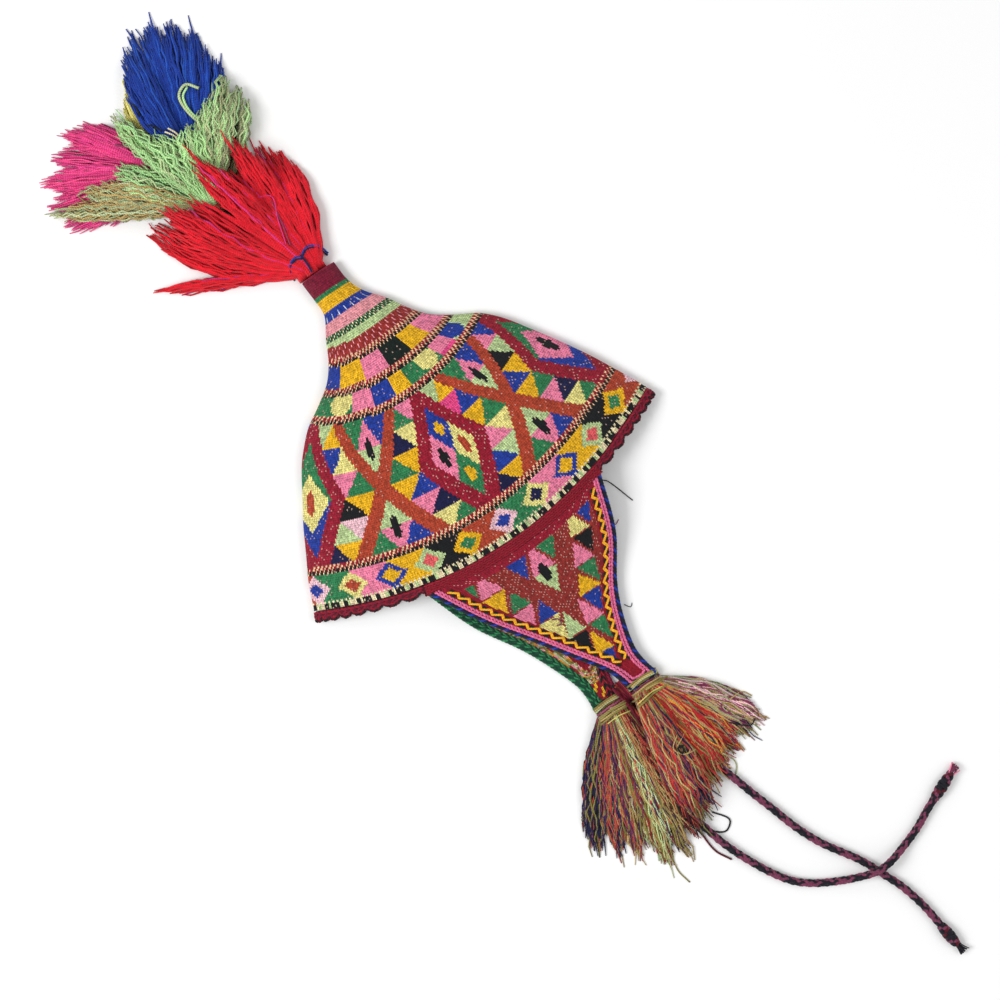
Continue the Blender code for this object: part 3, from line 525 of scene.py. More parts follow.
def plait(bundle, line, colours):
    """Eight strands round a line, four to each hand, and each goes over one and under the next."""
    walked, side, up = line_frame(line)
    turn = 2 * np.pi * walked / PLAIT_PITCH
    for hand in (1, -1):
        for number, colour in enumerate(colours):
            angle = hand * turn + math.pi / 2 * number
            reach = PLAIT_RADIUS + hand * PLAIT_WEAVE * np.cos(4 * turn)
            strand = line + reach[:, None] * (np.cos(angle)[:, None] * side + np.sin(angle)[:, None] * up)
            bundle.strand(strand, PLAIT_STRAND, tinted(colour, 0.05), sides=6)


KNOT_LENGTH = 0.0135  # before it is stretched
KNOT_TURNS = 1.5
KNOT_REACH, KNOT_SWELL = 0.0011, 0.0016  # from the middle to its strands: least, and what the belly adds
KNOT_STRAND, KNOT_CORE = 0.00150, 0.0019
TUFT_START, TUFT_STRAND = 0.0118, 0.00055


def knot(name, line, colours, tuft_colours, tuft, stretch):
    """The lump at a plait's end: strands wound to both hands round a core, and the cut ends past them."""
    bundle = Bundle()
    end = line[-1]
    way = (line[-1] - line[-2]) / np.linalg.norm(line[-1] - line[-2])
    side = np.cross(way, (0.0, 0.0, 1.0))
    up = np.cross(side, way)
    t = np.linspace(0, 1, 60)
    for number, colour in enumerate(colours):
        hand = 1 if number % 2 else -1
        swell = KNOT_REACH + KNOT_SWELL * np.sin(np.pi * np.clip(0.10 + 0.82 * t, 0, 1)) ** 0.8
        angle = hand * 2 * np.pi * KNOT_TURNS * t + 2 * np.pi / 3 * (number // 2) + 0.5 * (number % 2)
        along = KNOT_LENGTH * stretch * t - 2 * GAP
        wind = end + along[:, None] * way + swell[:, None] * (
            np.cos(angle)[:, None] * side + np.sin(angle)[:, None] * up
        )
        bundle.strand(wind, KNOT_STRAND * (1 - 0.3 * t**3), tinted(colour, 0.05), sides=7)
    core = end + way * (KNOT_LENGTH * stretch * t)[:, None]
    bundle.strand(core, KNOT_CORE * (1 - 0.3 * t**2), tinted("tie_black", 0.05), sides=8)
    q = np.linspace(0, 1, 9)
    for _ in range(tuft):
        spread = rng.normal(0.0, 0.10)
        lift = rng.uniform(-0.12, 0.12)
        reach = rng.uniform(0.0065, 0.0088)
        bend = rng.normal(0.0, 0.0012) * q * q
        line_out = end + way * (TUFT_START * stretch + reach * q)[:, None]
        line_out = line_out + side * (rng.normal(0, 0.0008) + spread * reach * q + bend)[:, None]
        line_out = line_out + up * (rng.normal(0, 0.0006) + lift * reach * q)[:, None]
        line_out[:, 2] = np.maximum(line_out[:, 2], 0.0006)
        colour = tuft_colours[rng.integers(len(tuft_colours))]
        bundle.strand(line_out, TUFT_STRAND * (1 - 0.4 * q), tinted(colour), sides=4)
    return bundle.make(name, WOOL)


print("a tie is", round(2 * (PLAIT_RADIUS + PLAIT_WEAVE + PLAIT_STRAND) / MM, 1), "mm thick")

# %% Plaited ties
KNOT_SHADES = ("tie_black", "mauve", "tie_black", "tie_black", "wine", "tie_black")
TieLook = namedtuple("TieLook", "name route over knot_colours tuft_colours tuft stretch")
for look in (
    TieLook("upper_tie", UPPER_TIE_ROUTE, False, KNOT_SHADES, ("tie_black",), 26, 1.25),
    TieLook("lower_tie", LOWER_TIE_ROUTE, True, KNOT_SHADES, ("mauve", "dusty", "pink"), 34, 1.5),
):
    path = smooth_line(tie_line(look.route, look.over), 0.0015)
    bundle = Bundle()
    plait(bundle, path, ("tie_black", "tie_black", "mauve", "mauve"))
    tie = bundle.make("plaited_" + look.name, WOOL)
    finish_piece(tie, "tie_yarn", look.name)
    end = knot(look.name + "_end_knot", path, look.knot_colours, look.tuft_colours, look.tuft, look.stretch)
    finish_piece(end, "tie_yarn", look.name + "_knot")

# %% [markdown]
# The crown is knitted in the round, so its mesh is knitted too: one ring of faces for each row, two faces
# for each stitch, and the point of every V half a row lower. A narrow neck holds few stitches and a wide rim
# many, so the count changes at a few rows, as a knitter's increases do. The shape is the solid crown's own.

# %% The crown's shape
WALL = 0.0025
RIM_WIDTH, CROWN_HEIGHT, RIM_DROP = 0.270, 0.1875, 0.0335
NECK_WIDTH, NECK_LEAN, NECK_RISE = 0.0263, -0.0052, 0.012
BELLY_RISE, RIM_RISE = 0.036, 0.027
FOLD_HEIGHT, FOLD_RUN = 0.0055, 0.009
CROWN_ROWS, CROWN_COLUMNS = 16, 32

Outline = namedtuple("Outline", "height flare lean rise")
CROWN_OUTLINE = [
    Outline(1.00, 0.000, 1.00, 0.00),
    Outline(0.92, 0.000, 0.85, 0.01),
    Outline(0.86, 0.020, 0.45, 0.03),
    Outline(0.79, 0.092, 0.12, 0.09),
    Outline(0.71, 0.162, 0.00, 0.20),
    Outline(0.65, 0.240, 0.00, 0.34),
    Outline(0.60, 0.350, 0.00, 0.48),
    Outline(0.56, 0.455, 0.00, 0.60),
    Outline(0.51, 0.538, 0.00, 0.72),
    Outline(0.45, 0.610, 0.00, 0.85),
    Outline(0.29, 0.768, 0.00, 1.00),
    Outline(0.11, 0.922, 0.00, 0.94),
    Outline(0.00, 1.000, 0.00, (RIM_RISE - NECK_RISE) / (BELLY_RISE - NECK_RISE)),
]
Dent = namedtuple("Dent", "across along spread lift")
CROWN_DENTS = [
    Dent(-0.45, 0.62, 0.22, -0.10),
    Dent(0.20, 0.50, 0.18, -0.08),
    Dent(0.55, 0.80, 0.20, 0.08),
    Dent(-0.70, 0.95, 0.16, 0.12),
    Dent(0.78, 0.97, 0.10, -0.12),
]


def outline_at(column, height):
    """One column of the outline, read at a share of the crown's height."""
    rows = CROWN_OUTLINE[::-1]
    return through([row.height for row in rows], [getattr(row, column) for row in rows], height)


def side_point(height):
    """The side fold's half width and Y at a share of the crown's height."""
    half = NECK_WIDTH / 2 + (RIM_WIDTH - NECK_WIDTH) / 2 * outline_at("flare", height)
    return half, CROWN_HEIGHT * height


SIDE_HEIGHTS = [1.0 - i / 200 for i in range(201)]
side = np.array([side_point(h) for h in SIDE_HEIGHTS])
SIDE_SHARES = np.r_[0, np.cumsum(np.linalg.norm(np.diff(side, axis=0), axis=1))]
SIDE_SHARES = list(SIDE_SHARES / SIDE_SHARES[-1])
crown_rows = {}


def crown_row(share):
    """Half width, side Y, middle Y, shift and rise of the row at a share of the fabric's length."""
    if share not in crown_rows:
        height = through(SIDE_SHARES, SIDE_HEIGHTS, share)
        half, side_y = side_point(height)
        middle_y = min(CROWN_HEIGHT - share * (CROWN_HEIGHT + RIM_DROP), side_y)
        rise = NECK_RISE + (BELLY_RISE - NECK_RISE) * outline_at("rise", height)
        crown_rows[share] = half, side_y, middle_y, NECK_LEAN * outline_at("lean", height), rise
    return crown_rows[share]


def crown_points(share, turns, inset=0.0):
    """Points of one row. Turns run once round, from the right fold over the upper layer."""
    half, side_y, middle_y, shift, rise = crown_row(share)
    angle = 2 * np.pi * np.asarray(turns)
    across, fold = np.cos(angle), min(FOLD_HEIGHT, rise / 2)
    lift = 1.0 + sum(
        d.lift * np.exp(-((np.hypot(across - d.across, share - d.along) / d.spread) ** 2))
        for d in CROWN_DENTS
    )
    top = fold + (rise * lift - fold - inset) * np.abs(np.sin(angle)) ** 1.5
    q = 1.0 - np.minimum(1.0, (1.0 - np.abs(across)) * half / min(FOLD_RUN, 0.8 * half))
    low = inset + (fold - inset) * (1.0 - np.sqrt(1.0 - q * q))
    z = np.where(np.sin(angle) >= -1e-9, top, low)
    y = side_y + (middle_y - side_y) * (1.0 - across * across)
    return np.stack([shift + (half - inset) * across, y, z], -1)


def even_turns(share, places):
    """Turns for places round a row, 0 to 1 from the left fold over the front, evenly spaced in cloth."""
    fine = np.linspace(0.0, 0.5, 181)
    turns = np.empty(len(places))
    for start, low in ((0.5, 0.0), (1.0, 0.5)):
        points = crown_points(share, start - fine)
        walked = np.r_[0, np.cumsum(np.linalg.norm(np.diff(points, axis=0), axis=1))]
        mine = (places >= low) & (places <= low + 0.5)
        at = (places[mine] - low) * 2 * walked[-1]
        turns[mine] = start - np.interp(at, walked, fine)
    return turns


def row_length(share):
    """The way round a row, in metres."""
    points = crown_points(share, np.linspace(0, 1, 181))
    return float(np.linalg.norm(np.diff(points, axis=0), axis=1).sum())


print("rim:", round(row_length(1.0) * 1000), "mm round")

# %% [markdown]
# A knitted mesh could be a plain sheet with a texture. Real faces for each leg of a stitch give the colour
# changes their true stepped edges, and the grooves between stitches a little depth.

# %% Knitted cloth
STITCH = 0.00152  # a stitch's width
STITCH_SINK = 0.00020  # the grooves between stitches lie this much deeper
CROWN_RIPPLE, FLAP_RIPPLE = 0.00022, 0.00012  # how far the cloth rises and falls


class Knit:
    """Cloth in rows of stitches. place(row, shares) gives the points across a row."""

    def __init__(self, place, breaks, counts, closed, shade):
        self.place, self.closed, self.shade = place, closed, shade
        self.points, self.sunk, self.faces, self.colours, self.uvs = [], [], [], [], []
        self.size = 0
        last = None
        for i, count in enumerate(counts):
            rows = list(range(breaks[i], breaks[i + 1])) + ([breaks[-1]] if i == len(counts) - 1 else [])
            for row in rows:
                ring = self.ring(row, count, row == breaks[-1])
                if last is not None:
                    self.between(last, ring, row - 1)
                last = ring

    def ring(self, row, count, final):
        """A row's points. Every other point lies half a row lower, so that the legs make a V."""
        shares = np.arange(2 * count + (not self.closed)) / (2 * count)
        points = self.place(row, shares)
        if not final:
            odd = np.arange(len(shares)) % 2 == 1
            points[odd] = (points[odd] + self.place(row + 1, shares)[odd]) / 2
        self.points.append(points)
        self.sunk.append(np.arange(len(shares)) % 2 == 0)
        start = self.size
        self.size += len(shares)
        return count, start, shares

    def stitch(self, corners, u, v, row, count):
        """One face: a leg of a stitch, with its yarn and its place in the count."""
        middle = (math.floor(sum(u) / len(u)) + 0.5) / count
        leg = sum(u) / len(u) % 1.0 > 0.5
        self.faces.append(corners)
        colour = self.shade(row, middle, leg)
        self.colours.extend([colour] * len(corners))
        self.uvs.extend(zip(u, v))

    def between(self, first, second, row):
        """The faces between two rows, four-sided unless the count changes."""
        count, start, _ = first
        other, after, _ = second
        size, wide = 2 * count, 2 * other
        if count == other:
            for j in range(size):
                k = (j + 1) % size if self.closed else j + 1
                corners = (start + j, after + j, after + k, start + k)
                u = (j / 2, j / 2, (j + 1) / 2, (j + 1) / 2)
                self.stitch(corners, u, (row, row + 1, row + 1, row), row, count)
            return
        j = k = 0
        while j < size or k < wide:
            here, there = j % size if self.closed else j, k % wide if self.closed else k
            u, v = j / 2, k / wide * count
            if k >= wide or (j < size and (j + 1) / size <= (k + 1) / wide):
                on = (j + 1) % size if self.closed else j + 1
                corners = (start + here, after + there, start + on)
                self.stitch(corners, (u, v, (j + 1) / 2), (row, row + 1, row), row, count)
                j += 1
            else:
                on = (k + 1) % wide if self.closed else k + 1
                corners = (start + here, after + there, after + on)
                self.stitch(corners, (u, v, (k + 1) / wide * count), (row, row + 1, row + 1), row, count)
                k += 1


print("stitches to 10 cm:", round(0.1 / STITCH))

# %% [markdown]
# The pattern is a chart, as a knitter would read it: bands of small blocks, a wide band of diamonds and
# crosses between strips of triangles, and a border of small diamonds. It is worked out from a few repeats.
# Places round the hat run from 0 to 300, and rows from 0 at the neck to 152 at the rim.

# %% The crown's chart
ROUND, ROWS = 300, 152
Band = namedtuple("Band", "end shade")
TOP_BANDS = [
    Band(9, "maroon"),
    Band(11, "green"),
    Band(17, "yellow"),
    Band(22, "blue"),
    Band(28, "salmon"),
    Band(31, "dots"),
    Band(35, "light_green"),
    Band(41, "streaks"),
]
Block = namedtuple("Block", "end shade")
BLOCKS_1 = [
    Block(20, "blue"), Block(50, "yellow"), Block(75, "pink"), Block(100, "black_green"),
    Block(124, "yellow"), Block(150, "pink"), Block(175, "green"), Block(200, "blue"),
    Block(225, "yellow"), Block(250, "pink"), Block(275, "green"), Block(300, "navy"),
]
BLOCKS_2 = [
    Block(34, "green"), Block(51, "pink"), Block(67, "blue"), Block(80, "yellow"), Block(109, "green"),
    Block(124, "pink"), Block(166, "light_green"), Block(182, "pink"), Block(199, "blue"),
    Block(215, "yellow"), Block(232, "green"), Block(249, "pale_yellow"), Block(266, "pink"),
    Block(283, "navy"), Block(300, "yellow"),
]
ROUNDS = [(25, 8.0, "pale_yellow"), (101, 7.0, "pale_yellow"), (131.5, 6.5, "blue")]  # middle, half, shade
Node = namedtuple("Node", "place kind")
NODES = [
    Node(-34.5, "cross"), Node(5.5, "left"), Node(41, "cross"), Node(78, "four"), Node(112, "cross"),
    Node(145, "right"), Node(185, "cross"), Node(226, "four"), Node(265.5, "cross"), Node(305.5, "left"),
]
LEVELS = [72, 81.5, 92.5, 103.5, 113.5, 123.5, 133]  # the rows where the strips' triangles meet
STRIPS = {  # for each level: the inverted triangle's shade and the upright one's
    "left_after": (
        ("light_green", "yellow"), ("blue", "pale_yellow"), ("pink", "green"),
        ("yellow", "black"), ("pale_pink", "light_green"), ("yellow", "navy"),
    ),
    "four_before": (
        ("pink", "green"), ("pale_yellow", "navy"), ("yellow", "green"),
        ("yellow", "blue"), ("pink", "navy"), ("pale_yellow", "green"),
    ),
    "four_after": (
        ("light_green", "yellow"), ("hot_pink", "blue"), ("yellow", "green"),
        ("pale_yellow", "pink"), ("light_green", "blue"), ("yellow", "navy"),
    ),
    "right_before": (
        ("blue", "pink"), ("light_green", "black"), ("yellow", "blue"),
        ("yellow", "green"), ("pink", "navy"), ("pale_yellow", "green"),
    ),
}
Rhomb = namedtuple("Rhomb", "ring heart ground")
BORDER = [
    Rhomb("pale_pink", "blue", "green"),
    Rhomb("pale_yellow", "navy", "pink"),
    Rhomb("blue", "yellow", "yellow"),
    Rhomb("light_green", "salmon_red", "black"),
    Rhomb("yellow", "green", "rust"),
]
MIDDLE_ROW, HALF_BAND = 103.0, 30.5


print("chart:", len(NODES), "diamonds and crosses")

# %% [markdown]
# Each function answers one question: which yarn does this band have at this place and row? Places are
# measured from the nearest diamond or cross, so that both halves of a shape come from one rule.

# %% The chart's bands
def in_oval(x, y, wide, tall):
    """True inside an oval round the middle, with these half axes."""
    return (x / wide) ** 2 + (y / tall) ** 2 < 1


def four_rhombs(x, y):
    """The large diamond in the middle, cut into four."""
    upper, left = x / 11 + y / 25 < 0, x / 11 - y / 25 < 0
    if upper and not left:
        return "yellow" if in_oval(x, y + 12.5, 2.0, 3.6) else "blue"
    if upper and left:
        return "black" if in_oval(x + 5.5, y, 1.7, 5.0) else "pink"
    if left:
        return "yellow" if in_oval(x, y - 12.5, 2.0, 3.6) else "green"
    return "rust" if in_oval(x - 5.5, y, 1.7, 5.0) else "pale_yellow"


def side_rhomb(x, y, ring, heart):
    """The diamonds at the folds."""
    if abs(x) / 10 + abs(y) / 13 < 1:
        return heart if in_oval(x, y, 2.2, 5.6) else ring
    return "green" if y < 0 else "blue"


def cross_field(e, x, row):
    """Between the arms of a cross, above and below its middle."""
    top = row < MIDDLE_ROW
    from_edge = row - 72 if top else 134 - row
    rhomb_row = 85.0 if top else 122.0
    if in_oval(x, row - rhomb_row, 1.9, 5.4):
        return "black"
    if from_edge < 12.5 and e > 6.8 * from_edge / 12.5:
        return "green" if x < 0 else "blue"
    if top:
        return "pink" if row < 84.5 else "light_green"
    return "light_green" if row < 121.5 else "pink"


def main_band(place, row):
    """The wide band of diamonds, crosses and strips of triangles."""
    index = max(i for i in range(len(NODES) - 1) if NODES[i].place <= place)
    before, after = NODES[index], NODES[index + 1]
    span = after.place - before.place
    diamond_first = before.kind != "cross"
    diamond = before if diamond_first else after
    d = abs(place - diamond.place) / span * 36
    e = 36 - d
    h = abs(row - MIDDLE_ROW) / HALF_BAND
    outer = 4.5 + 13.5 * (1 - h)
    if outer - 7 <= d <= outer:
        return "crimson"
    if abs(e - 17 * h) <= 3.5:
        return "rust"
    if d < outer - 7:
        x = d if diamond_first else -d
        if diamond.kind == "four":
            return four_rhombs(x, row - 103.5)
        if diamond.kind == "left":
            return side_rhomb(x, row - 103.5, "pale_yellow", "rust")
        return side_rhomb(x, row - 103.5, "pink", "black")
    if e < 17 * h - 3.5:
        return cross_field(e, -e if diamond_first else e, row)
    a, b = outer, 36 - 17 * h - 3.5
    if not diamond_first:
        a, b, at = 36 - b, 36 - a, e
    else:
        at = d
    s = (at - a) / max(b - a, 0.1)
    level = min(5, max(0, sum(row >= edge for edge in LEVELS) - 1))
    t = (row - LEVELS[level]) / (LEVELS[level + 1] - LEVELS[level])
    leans_right = (level < 3) == diamond_first
    inverted = s + t < 1 if leans_right else s > t
    key = diamond.kind + ("_after" if diamond_first else "_before")
    key = {"right_after": "left_after", "left_before": "right_before"}.get(key, key)
    return STRIPS[key][level][0 if inverted else 1]


def border_band(place, row):
    """Small diamonds on grounds that change at each."""
    steps = (place - 78) / 15
    nearest = round(steps)
    rhomb = BORDER[nearest % 5]
    x, y = (steps - nearest) * 15, row - 142.2
    far = abs(x) / 6.2 + abs(y) / 6.4
    heart = 0.6 if rhomb.ring == "blue" else 0.52
    if far < heart:
        return "rust" if rhomb.heart == "navy" and place < 30 else rhomb.heart
    if far < 1:
        return rhomb.ring
    return BORDER[math.floor(steps) % 5].ground


def checker(leg_index, step):
    """Four rows of slanted checks: red over black, with small strokes of peach between."""
    at = (leg_index + step) % 4
    wide = 2 if step < 2 else 1
    if at < wide and rng.random() < 0.85:
        return "peach"
    return "flap_red" if step < 2 else "black" if at != 3 or step == 3 else "rust_red"


def second_blocks(place, row):
    """The lower row of blocks, three of them with an oval inside."""
    for middle, half, shade in ROUNDS:
        if abs(place - middle) < 12.5 and in_oval(place - middle, row - 61.5, half + 1.5, 6.2):
            return shade
    if 109 <= place < 124 and row > 65:
        return "hot_pink"
    return next(block.shade for block in BLOCKS_2 if place < block.end)


def crown_shade(place, row, leg_index):
    """The chart: which yarn makes this stitch."""
    # near the folds the bands climb a little towards the neck
    near_fold = min(place, ROUND - place)
    rise = ease(1 - abs(row - 56) / 30 + 0.35) if 30 < row < 90 else 0.0
    row = row + round(4.5 * math.exp(-near_fold / 22) * float(rise))
    for band in TOP_BANDS:
        if row < band.end:
            if band.shade == "dots":
                return ("black", "green", "black", "green", "cream")[(leg_index + 2 * row) % 5]
            if band.shade == "streaks":
                stroke = leg_index % 3 == 0 and (row + 2 * (leg_index // 3)) % 5 < 2
                return "salmon" if stroke else "rust_red"
            if band.shade == "blue" and leg_index % 7 == 3 and row > 18:
                return "pale_blue"
            return band.shade
    for start in (41, 55, 68, 132):
        if start <= row < start + 4:
            return checker(leg_index, row - start)
    if row < 55:
        return next(block.shade for block in BLOCKS_1 if place < block.end)
    if row < 68:
        return second_blocks(place, row)
    if row < 132:
        return main_band(place, row)
    if row < 148:
        return border_band(place, row)
    dash = (place + 0.8 * math.sin(place)) % 4.1
    if row < 149:
        return "cream" if leg_index % 4 < 2 else border_band(place, 147)
    if dash < 2.0 and rng.random() < 0.95:
        return "black"
    return ("cream", "cream", "light_green")[leg_index // 3 % 3]


FLECK_CHANCES = {
    "crimson": 0.13, "rust": 0.05, "blue": 0.09, "navy": 0.08, "green": 0.09, "black": 0.05,
    "black_green": 0.08, "maroon": 0.0, "flap_rust": 0.22, "flap_red": 0.0,
}


def stitch_colour(shade):
    """A yarn's colour with its small unevenness, and its share of flecks as the fourth number."""
    return np.append(SHADES[shade] * rng.normal(1.0, 0.10), FLECK_CHANCES.get(shade, 0.0))


print("flecked yarns:", sum(chance > 0 for chance in FLECK_CHANCES.values()))

# %% [markdown]
# The chart and the shape meet here. The crown is knitted from the neck to the rim, then gets its wrong side,
# its lip and its closed neck, so that it has the thickness of cloth.

# %% Crown
BREAKS = [0, 9, 17, 22, 28, 35, 41, 54, 68, 82, 95, 110, 125, 136, 152]
counts = []
for low, high in zip(BREAKS, BREAKS[1:]):
    counts.append(2 * round(row_length((low + high) / 2 / ROWS) / STITCH / 2))


def crown_place(row, shares):
    """Where the stitches of a row lie."""
    share = min(row, ROWS) / ROWS
    return crown_points(share, even_turns(share, shares))


def crown_stitch(row, middle, leg):
    """The colour of one leg, from the chart."""
    count = counts[max(i for i in range(len(counts)) if BREAKS[i] <= row)]
    shade = crown_shade(middle * ROUND, row, 2 * int(middle * count) + leg)
    return stitch_colour(shade)


SKIN_ROWS, SKIN_COLUMNS = 40, 96


def inner_skin(start_index, rows=SKIN_ROWS, columns=SKIN_COLUMNS):
    """The wrong side of the knitting: its points and its faces."""
    turns = 0.5 - np.arange(columns) / columns
    start = WALL / (CROWN_HEIGHT + RIM_DROP)
    shares = [start + (1 - start) * row / rows for row in range(rows + 1)]
    points = np.concatenate([crown_points(share, turns, WALL) for share in shares])
    faces = []
    for row in range(rows):
        for j in range(columns):
            k = (j + 1) % columns
            at = start_index + row * columns
            faces.append((at + j, at + k, at + columns + k, at + columns + j))
    faces.append(tuple(start_index + j for j in range(columns))[::-1])
    return points, faces


def join_rings(first, first_count, second, second_count):
    """Triangles between two closed rings of different counts."""
    made, j, k = [], 0, 0
    while j < first_count or k < second_count:
        here, there = first + j % first_count, second + k % second_count
        if k >= second_count or (j < first_count and (j + 1) / first_count <= (k + 1) / second_count):
            made.append((here, there, first + (j + 1) % first_count))
            j += 1
        else:
            made.append((here, there, second + (k + 1) % second_count))
            k += 1
    return made


def soften(piece, sunk, ripple):
    """Sinks the grooves between stitches and lets the cloth ripple a little."""
    mesh = piece.data
    place = np.empty(len(mesh.vertices) * 3, np.float32)
    normal = np.empty(len(mesh.vertices) * 3, np.float32)
    mesh.vertices.foreach_get("co", place)
    mesh.vertices.foreach_get("normal", normal)
    place, normal = place.reshape(-1, 3), normal.reshape(-1, 3)
    x, y = place[:, 0] / MM, place[:, 1] / MM
    wave = np.sin(x / 9.0 + 1.3 * np.sin(y / 14.0)) + np.sin(y / 6.5 + 1.1 * np.sin(x / 17.0))
    shift = np.where(sunk, -STITCH_SINK, 0.0)
    shift[: len(sunk)] += ripple * wave[: len(sunk)]
    place += normal * shift[:, None]
    place[:, 2] = np.maximum(place[:, 2], 0.0)
    mesh.vertices.foreach_set("co", place.reshape(-1))
    mesh.update()


print("stitches at the neck:", counts[0], "and at the rim:", counts[-1])

# %% Knit the crown
knit = Knit(crown_place, BREAKS, counts, True, crown_stitch)
outer_count = knit.size
skin_points, skin_faces = inner_skin(outer_count)
faces, colours, uvs = knit.faces + skin_faces, knit.colours, knit.uvs
SKIN_SHADES = ("crimson", "rust", "maroon", "dusty", "olive", "wine")
SKIN_STITCHES = [(0.0, 0.0), (6.0, 0.0), (6.0, 5.0), (0.0, 5.0)]
PLAIN_STITCH = (0.25, 0.5)  # the middle of a leg, for faces without stitches
for face in skin_faces:
    # painted shade: the wrong side's yarns are a fifth darker, for the inside of the hat
    shade = SHADES[SKIN_SHADES[rng.integers(len(SKIN_SHADES))]] * 0.8
    colours.extend([np.append(shade, 0.0)] * len(face))
    uvs.extend(SKIN_STITCHES if len(face) == 4 else [PLAIN_STITCH] * len(face))

rim_ring = outer_count - 2 * counts[-1]
skin_rim = outer_count + SKIN_ROWS * SKIN_COLUMNS
lip = join_rings(rim_ring, 2 * counts[-1], skin_rim, SKIN_COLUMNS)
neck_cap = [tuple(range(2 * counts[0]))]
for face in lip + neck_cap:
    faces.append(face)
    colours.extend([np.append(SHADES["maroon"], 0.0)] * len(face))
    uvs.extend([PLAIN_STITCH] * len(face))

points = np.concatenate(knit.points + [skin_points])
corners = np.concatenate([np.array(face) for face in faces])
sizes = np.array([len(face) for face in faces])
crown = mesh_piece(
    "knitted_crown", points, corners, sizes, np.array(colours), "CORNER", "stitches", uvs, KNIT
)
sunk = np.concatenate(knit.sunk + [np.zeros(len(skin_points), bool)])
soften(crown, sunk, CROWN_RIPPLE)
finish_piece(crown, "crown_knit", "crown")
area = sum(p.area for p in crown.data.polygons) / 2
print("crown cloth:", round(area, 4), "square metres;", sum(counts), "stitch columns in all")

# %% [markdown]
# A crocheted edging closes the rim. Outside the flaps it is a row of small scallops: four twisted cords lie
# side by side on a flat core and swing in and out together. Where a flap is sewn on, five straight cords run
# along instead.

# %% The rim's own lines
EDGING_WIDTH, EDGING_THICKNESS = 0.0062, 0.0034
SCALLOP_DEPTH, SCALLOP_PITCH = 0.0034, 0.0105
BAND_PROFILE = ((0.0, 0.45), (0.35, 0.5), (0.7, 0.45), (1.0, 0.0), (0.7, -0.45), (0.35, -0.5), (0.0, -0.45))
Flap = namedtuple("Flap", "left right tip tip_half")
UPPER_FLAP = Flap(left=-0.470, right=0.568, tip=0.169, tip_half=0.0793)
LOWER_FLAP = Flap(left=-0.486, right=0.470, tip=-0.040, tip_half=0.0741)

columns = np.arange(CROWN_COLUMNS + 1) / CROWN_COLUMNS
rim_outer = crown_points(1.0, columns)
rim_inner = crown_points(1.0, columns, WALL)
rim_before = crown_points(1.0 - 1.0 / CROWN_ROWS, columns)
RIM_MIDDLE = (rim_outer + rim_inner) / 2
RIM_ALONG = rim_outer - rim_before
RIM_ALONG /= np.linalg.norm(RIM_ALONG, axis=1)[:, None]
RIM_OUT = rim_outer - rim_inner
RIM_OUT /= np.linalg.norm(RIM_OUT, axis=1)[:, None]


def rim_frame(turn):
    """The wall's middle, the way down the cloth and the way out of it, anywhere round the rim."""
    at = np.atleast_1d(turn) % 1.0
    return tuple(
        np.stack([np.interp(at, columns, table[:, k]) for k in range(3)], -1)
        for table in (RIM_MIDDLE, RIM_ALONG, RIM_OUT)
    )


def rim_turn(x, upper):
    """The turn round the rim where the upper or lower layer passes an X."""
    turn = np.arccos(np.clip(np.asarray(x) / (RIM_WIDTH / 2), -1.0, 1.0)) / (2 * np.pi)
    return turn if upper else 1.0 - turn


def behind_flap(turn):
    """True where a flap joins the rim."""
    joined = np.zeros(len(turn), bool)
    for flap, upper in ((UPPER_FLAP, True), (LOWER_FLAP, False)):
        ends = rim_turn([flap.left * RIM_WIDTH / 2, flap.right * RIM_WIDTH / 2], upper)
        joined |= (turn > ends.min()) & (turn < ends.max())
    return joined


seam = (UPPER_FLAP.right - UPPER_FLAP.left) * RIM_WIDTH / 2
print("the near flap joins the rim over", round(seam / MM), "mm")

# %% Twisted cords and flat cores
def twist(bundle, line, radius, pitch, colours, hand=1, sides=6):
    """A cord of a few plies wound round each other."""
    walked, side, up = line_frame(line)
    ply = radius * (0.56 if len(colours) == 2 else 0.5)
    for number, colour in enumerate(colours):
        angle = hand * 2 * np.pi * walked / pitch + 2 * np.pi * number / len(colours)
        out = (radius - ply) * (np.cos(angle)[:, None] * side + np.sin(angle)[:, None] * up)
        bundle.strand(line + out, ply, colour, sides=sides)


def band(bundle, starts, ends, up, thickness, colours, closed):
    """A flat core with rounded sides between two lines."""
    rings = [starts + reach * (ends - starts) + rise * thickness * up for reach, rise in BAND_PROFILE]
    points = np.stack(rings, 1)
    points[..., 2] = np.maximum(points[..., 2], 0.0002)
    size, wide = points.shape[:2]
    rows = np.arange(size if closed else size - 1)[:, None]
    after, near = (rows + 1) % size, np.arange(wide)[None]
    over = (near + 1) % wide
    quads = np.stack([rows * wide + near, after * wide + near, after * wide + over, rows * wide + over], -1)
    quads = quads.reshape(-1, 4)[:, ::-1]
    runs = np.tile(np.array([(0, 0), (1, 0), (1, 1), (0, 1)], float), (len(quads), 1))
    shades = np.repeat(np.broadcast_to(colours, (size, 3)), wide, axis=0)
    if not closed:
        around = np.arange(wide)
        bundle.caps.append([bundle.count + around, bundle.count + (size - 1) * wide + around[::-1]])
    bundle.add_mesh(points.reshape(-1, 3), quads, shades, runs)


print("a core's outline has", len(BAND_PROFILE), "points")

